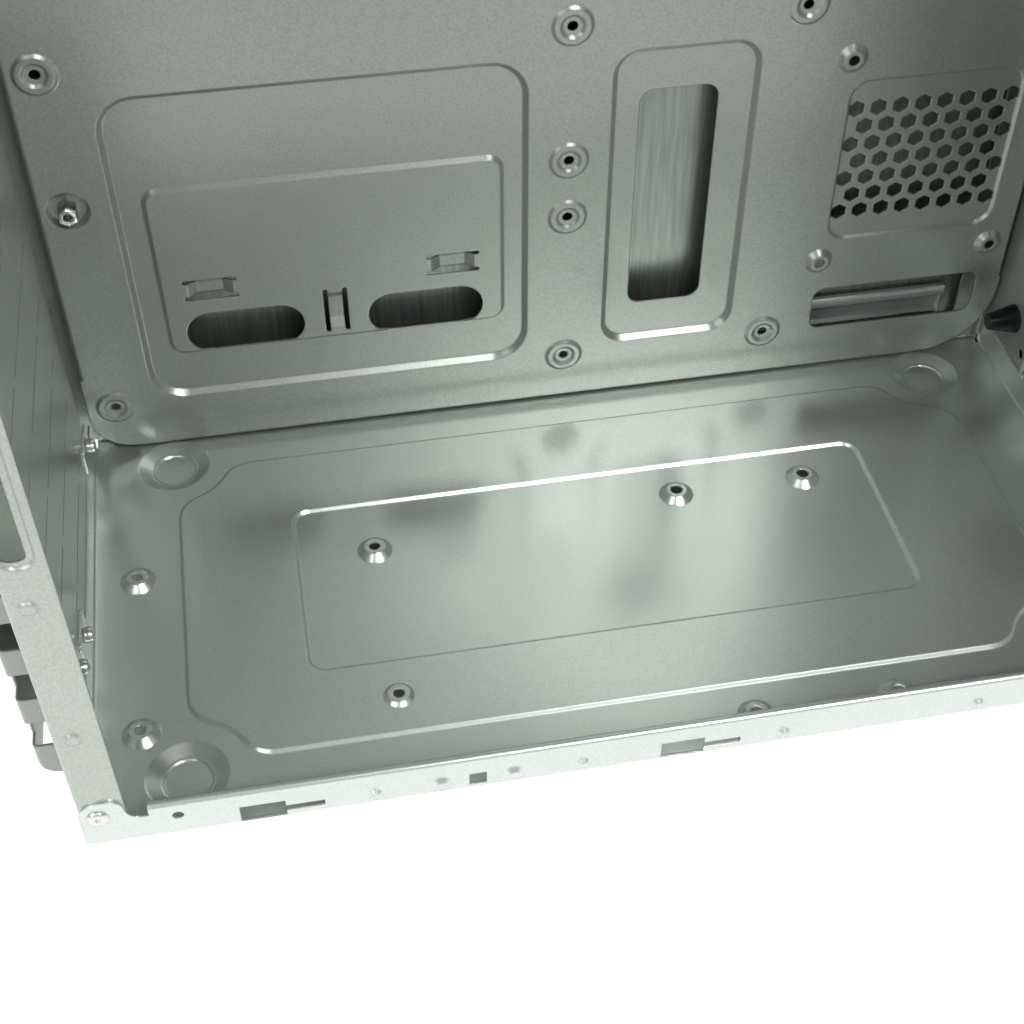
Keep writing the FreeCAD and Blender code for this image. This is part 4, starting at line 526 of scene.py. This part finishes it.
# Buttons: glossy moulded caps with a shallow dish and a rounded rim, each on a collar that stops it
# behind the wall and a stem that enters its switch.
BUTTON_STEPS = 40
CAP_LENGTH = 3.0
COLLAR_WIDTH = 1.5
COLLAR_LENGTH = 1.2
STEM_RADIUS = 1.5
button_plastic = moulded("button_plastic", (0.015, 0.015, 0.016), rough=0.2, relief=0.02)
for button_name in ("power_button", "reset_button"):
    low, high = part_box(button_name)
    cap = (high.z - low.z) / MM / 2 - COLLAR_WIDTH
    face = (high.x - low.x) / MM
    collar_front = face - CAP_LENGTH
    collar_back = collar_front - COLLAR_LENGTH
    button_profile = (
        (0.0, face - 0.4), (0.55 * cap, face - 0.34), (cap - 0.9, face - 0.16), (cap - 0.5, face),
        (cap - 0.2, face - 0.08), (cap, face - 0.4), (cap, collar_front), (cap + COLLAR_WIDTH, collar_front),
        (cap + COLLAR_WIDTH, collar_back), (STEM_RADIUS, collar_back), (STEM_RADIUS, 0.2),
        (STEM_RADIUS - 0.2, 0.0), (0.0, 0.0),
    )
    button_place = (low.x, (low.y + high.y) / 2, (low.z + high.z) / 2)
    install(repeated(button_name + "_cap", lathe(button_profile, BUTTON_STEPS), [(button_place, (1, 0, 0))]),
            button_plastic, "black_gloss_plastic", button_name, button_name)

# Switches, connector board and its screws: moulded bodies on a green lacquered board, screwed to the
# bosses of the bezel.
switch_plastic = moulded("switch_plastic", (0.05, 0.05, 0.052), rough=0.5, relief=0.1)
coat("power_switch", switch_plastic)
coat("reset_switch", switch_plastic)
coat("front_io_board", moulded("board_lacquer", (0.02, 0.13, 0.06), rough=0.35, relief=0.03))
coat("io_board_screws", screw_zinc)

# Sockets: plated steel shells with gilt contacts under their tongues, and two turned black rings for
# the plugs of the headset. All of them sit on the connector board.
SHELL_HALF = 6.5
CONTACT_SIZE = Vector((6.0, 1.0, 0.12)) * MM
CONTACT_OFFSETS = (-3.5, -1.0, 1.0, 3.5)
CONTACT_BACK = 4.6
CONTACT_EDGE = 0.04
TONGUE_LOW = 0.3
JACK_RADIUS = 3.6
socket_plating = zinc_sheet("socket_plating", dark=(0.60, 0.60, 0.58), light=(0.70, 0.70, 0.68),
                            metallic=1.0, rough=0.2, relief=0.02)
coat("usb_sockets", socket_plating)
gilt = zinc_sheet("gilt", dark=(0.72, 0.52, 0.22), light=(0.80, 0.60, 0.28),
                  metallic=1.0, rough=0.25, relief=0.02)
low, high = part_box("usb_sockets")
contact_x = high.x - CONTACT_BACK * MM
contact_z = (low.z + high.z) / 2 - TONGUE_LOW * MM
contact_form = bmesh.new()
for shell_y in (low.y + SHELL_HALF * MM, high.y - SHELL_HALF * MM):
    for offset in CONTACT_OFFSETS:
        contact_place = Vector((contact_x, shell_y + offset * MM, contact_z))
        strip = bmesh.ops.create_cube(contact_form, size=1.0,
                                      matrix=Matrix.LocRotScale(contact_place, None, CONTACT_SIZE))
        bmesh.ops.bevel(contact_form, geom=edges_of(strip["verts"]), offset=CONTACT_EDGE * MM, segments=2,
                        profile=0.5, affect="EDGES", material=-1)
install(shown("usb_contacts", contact_form), gilt, "brass", CHASSIS)


def side_by_side(name, radius):
    """Places of two like round pieces that look to the front, and their length, from their node."""
    low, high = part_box(name)
    places = [((low.x, y, (low.z + high.z) / 2), (1, 0, 0))
              for y in (low.y + radius * MM, high.y - radius * MM)]
    return places, (high.x - low.x) / MM


jack_places, jack_long = side_by_side("audio_sockets", JACK_RADIUS)
jack_profile = (
    (0.0, 0.8), (1.75, 0.8), (1.75, jack_long - 0.5), (2.1, jack_long - 0.1), (2.5, jack_long),
    (3.2, jack_long), (JACK_RADIUS, jack_long - 0.4), (JACK_RADIUS, 0.0), (0.0, 0.0),
)
socket_plastic = moulded("socket_plastic", (0.02, 0.02, 0.02), rough=0.3, relief=0.03)
install(repeated("headset_rings", lathe(jack_profile), jack_places), socket_plastic, "socket_plastic",
        CHASSIS, "audio_sockets")

# Light pipes: two clear moulded rods in holes of the bezel's control strip, which carry light to the
# front. Each ends in a low dome.
PIPE_RADIUS = 1.5
pipe_places, pipe_long = side_by_side("led_light_pipes", PIPE_RADIUS)
pipe_profile = (
    (0.0, 0.0), (PIPE_RADIUS, 0.0), (PIPE_RADIUS, pipe_long - 0.5), (1.2, pipe_long - 0.2),
    (0.6, pipe_long - 0.03), (0.0, pipe_long),
)
clear_plastic = moulded("clear_plastic", (0.6, 0.66, 0.7), rough=0.12, relief=0.02)
install(repeated("domed_pipes", lathe(pipe_profile), pipe_places), clear_plastic, "clear_plastic",
        CHASSIS, "led_light_pipes")

# Studio: pale paper that glows as painted light in a pool round the case, with its glow kept off beneath the
# case as a painted shadow, an even pale surround, a strip lamp above the open side and a broad soft lamp at
# the rear.
FLOOR_REACH = 6.0
PAPER_GLOW = 0.7
SHADOW_INSET = (0.018, 0.009)
POOL_HALF = (0.45, 0.2)
POOL_FADE = (1.0, 1.9)
POOL_OUTSIDE = 0.2
SURROUND_STRENGTH = 0.4
ground_form = bmesh.new()
bmesh.ops.create_grid(ground_form, x_segments=1, y_segments=1, size=FLOOR_REACH)
ground = shown("studio_floor", ground_form)
paper, paper_tree, paper_shader = finish("studio_paper")
paper_shader.inputs["Base Color"].default_value = (0.6, 0.6, 0.6, 1)
paper_shader.inputs["Roughness"].default_value = 0.9
paper_shader.inputs["Emission Color"].default_value = (1.0, 1.0, 1.0, 1)
paper_place = paper_tree.nodes.new("ShaderNodeTexCoord")
paper_split = paper_tree.nodes.new("ShaderNodeSeparateXYZ")
paper_tree.links.new(paper_place.outputs["Object"], paper_split.inputs["Vector"])
# Painted shadow: the paper's glow falls to nothing under the case's footprint; painted light: elsewhere it
# glows in a pool that fades away from the case.
outside_painted_shadow = []
for axis_name, reach in zip("XY", cad_bounds[1]):
    away = reckoned(paper_tree, "ABSOLUTE", paper_split.outputs[axis_name])
    shadow_edge = [reach - inset for inset in SHADOW_INSET]
    outside_painted_shadow.append(carried(paper_tree, away, shadow_edge, (0.0, PAPER_GLOW)))
pool = paper_tree.nodes.new("ShaderNodeMapping")
pool.inputs["Scale"].default_value = (1 / POOL_HALF[0], 1 / POOL_HALF[1], 0.0)
paper_tree.links.new(paper_place.outputs["Object"], pool.inputs["Vector"])
outwards = paper_tree.nodes.new("ShaderNodeVectorMath")
outwards.operation = "LENGTH"
paper_tree.links.new(pool.outputs["Vector"], outwards.inputs[0])
fade = carried(paper_tree, outwards.outputs["Value"], POOL_FADE, (1.0, POOL_OUTSIDE))
glow = reckoned(paper_tree, "MULTIPLY", reckoned(paper_tree, "MAXIMUM", *outside_painted_shadow), fade)
paper_tree.links.new(glow, paper_shader.inputs["Emission Strength"])
ground.data.materials.append(paper)

surround = bpy.data.worlds.new("surround")
bpy.context.scene.world = surround
surround.use_nodes = True
surround_light = surround.node_tree.nodes["Background"]
surround_light.inputs["Color"].default_value = (1.0, 1.0, 1.0, 1)
surround_light.inputs["Strength"].default_value = SURROUND_STRENGTH


def lamp(name, place, target, width, height, power):
    """Soft rectangular lamp that looks at a target."""
    data = bpy.data.lights.new(name, "AREA")
    data.shape = "RECTANGLE"
    data.size = width
    data.size_y = height
    data.energy = power
    thing = bpy.data.objects.new(name, data)
    thing.location = place
    aim = Vector(target) - Vector(place)
    thing.rotation_euler = aim.to_track_quat("-Z", "Y").to_euler()
    bpy.context.scene.collection.objects.link(thing)


lamp("key_lamp", place=(0.43, -1.0, 1.243), target=(0.03, 0.0, 0.03), width=0.7, height=0.25, power=11.0)
lamp("fill_lamp", place=(-1.0, -0.75, 0.9), target=(0.1, 0.0, 0.1), width=1.0, height=1.0, power=8.5)
bpy.context.scene.view_settings.view_transform = "Standard"

# Camera: looks down through the open side at the floor, as the photograph does, and swings a little
# towards the front. Its angles are in degrees.
LOOK_DOWN = 45.87
ROLL = 0.07
SWING = -10.3
PHOTO_SIZE = 1024
PHOTO_SHIFT = 15
eye = bpy.data.cameras.new("camera")
eye.lens = 54.64
eye.sensor_width = 36.0
eye.shift_y = PHOTO_SHIFT / PHOTO_SIZE
eye.clip_start = 0.01
camera = bpy.data.objects.new("camera", eye)
camera.location = (-0.1043, -0.3389, 0.3806)
camera.rotation_euler = [math.radians(angle) for angle in (90 - LOOK_DOWN, ROLL, SWING)]
bpy.context.scene.collection.objects.link(camera)
bpy.context.scene.camera = camera
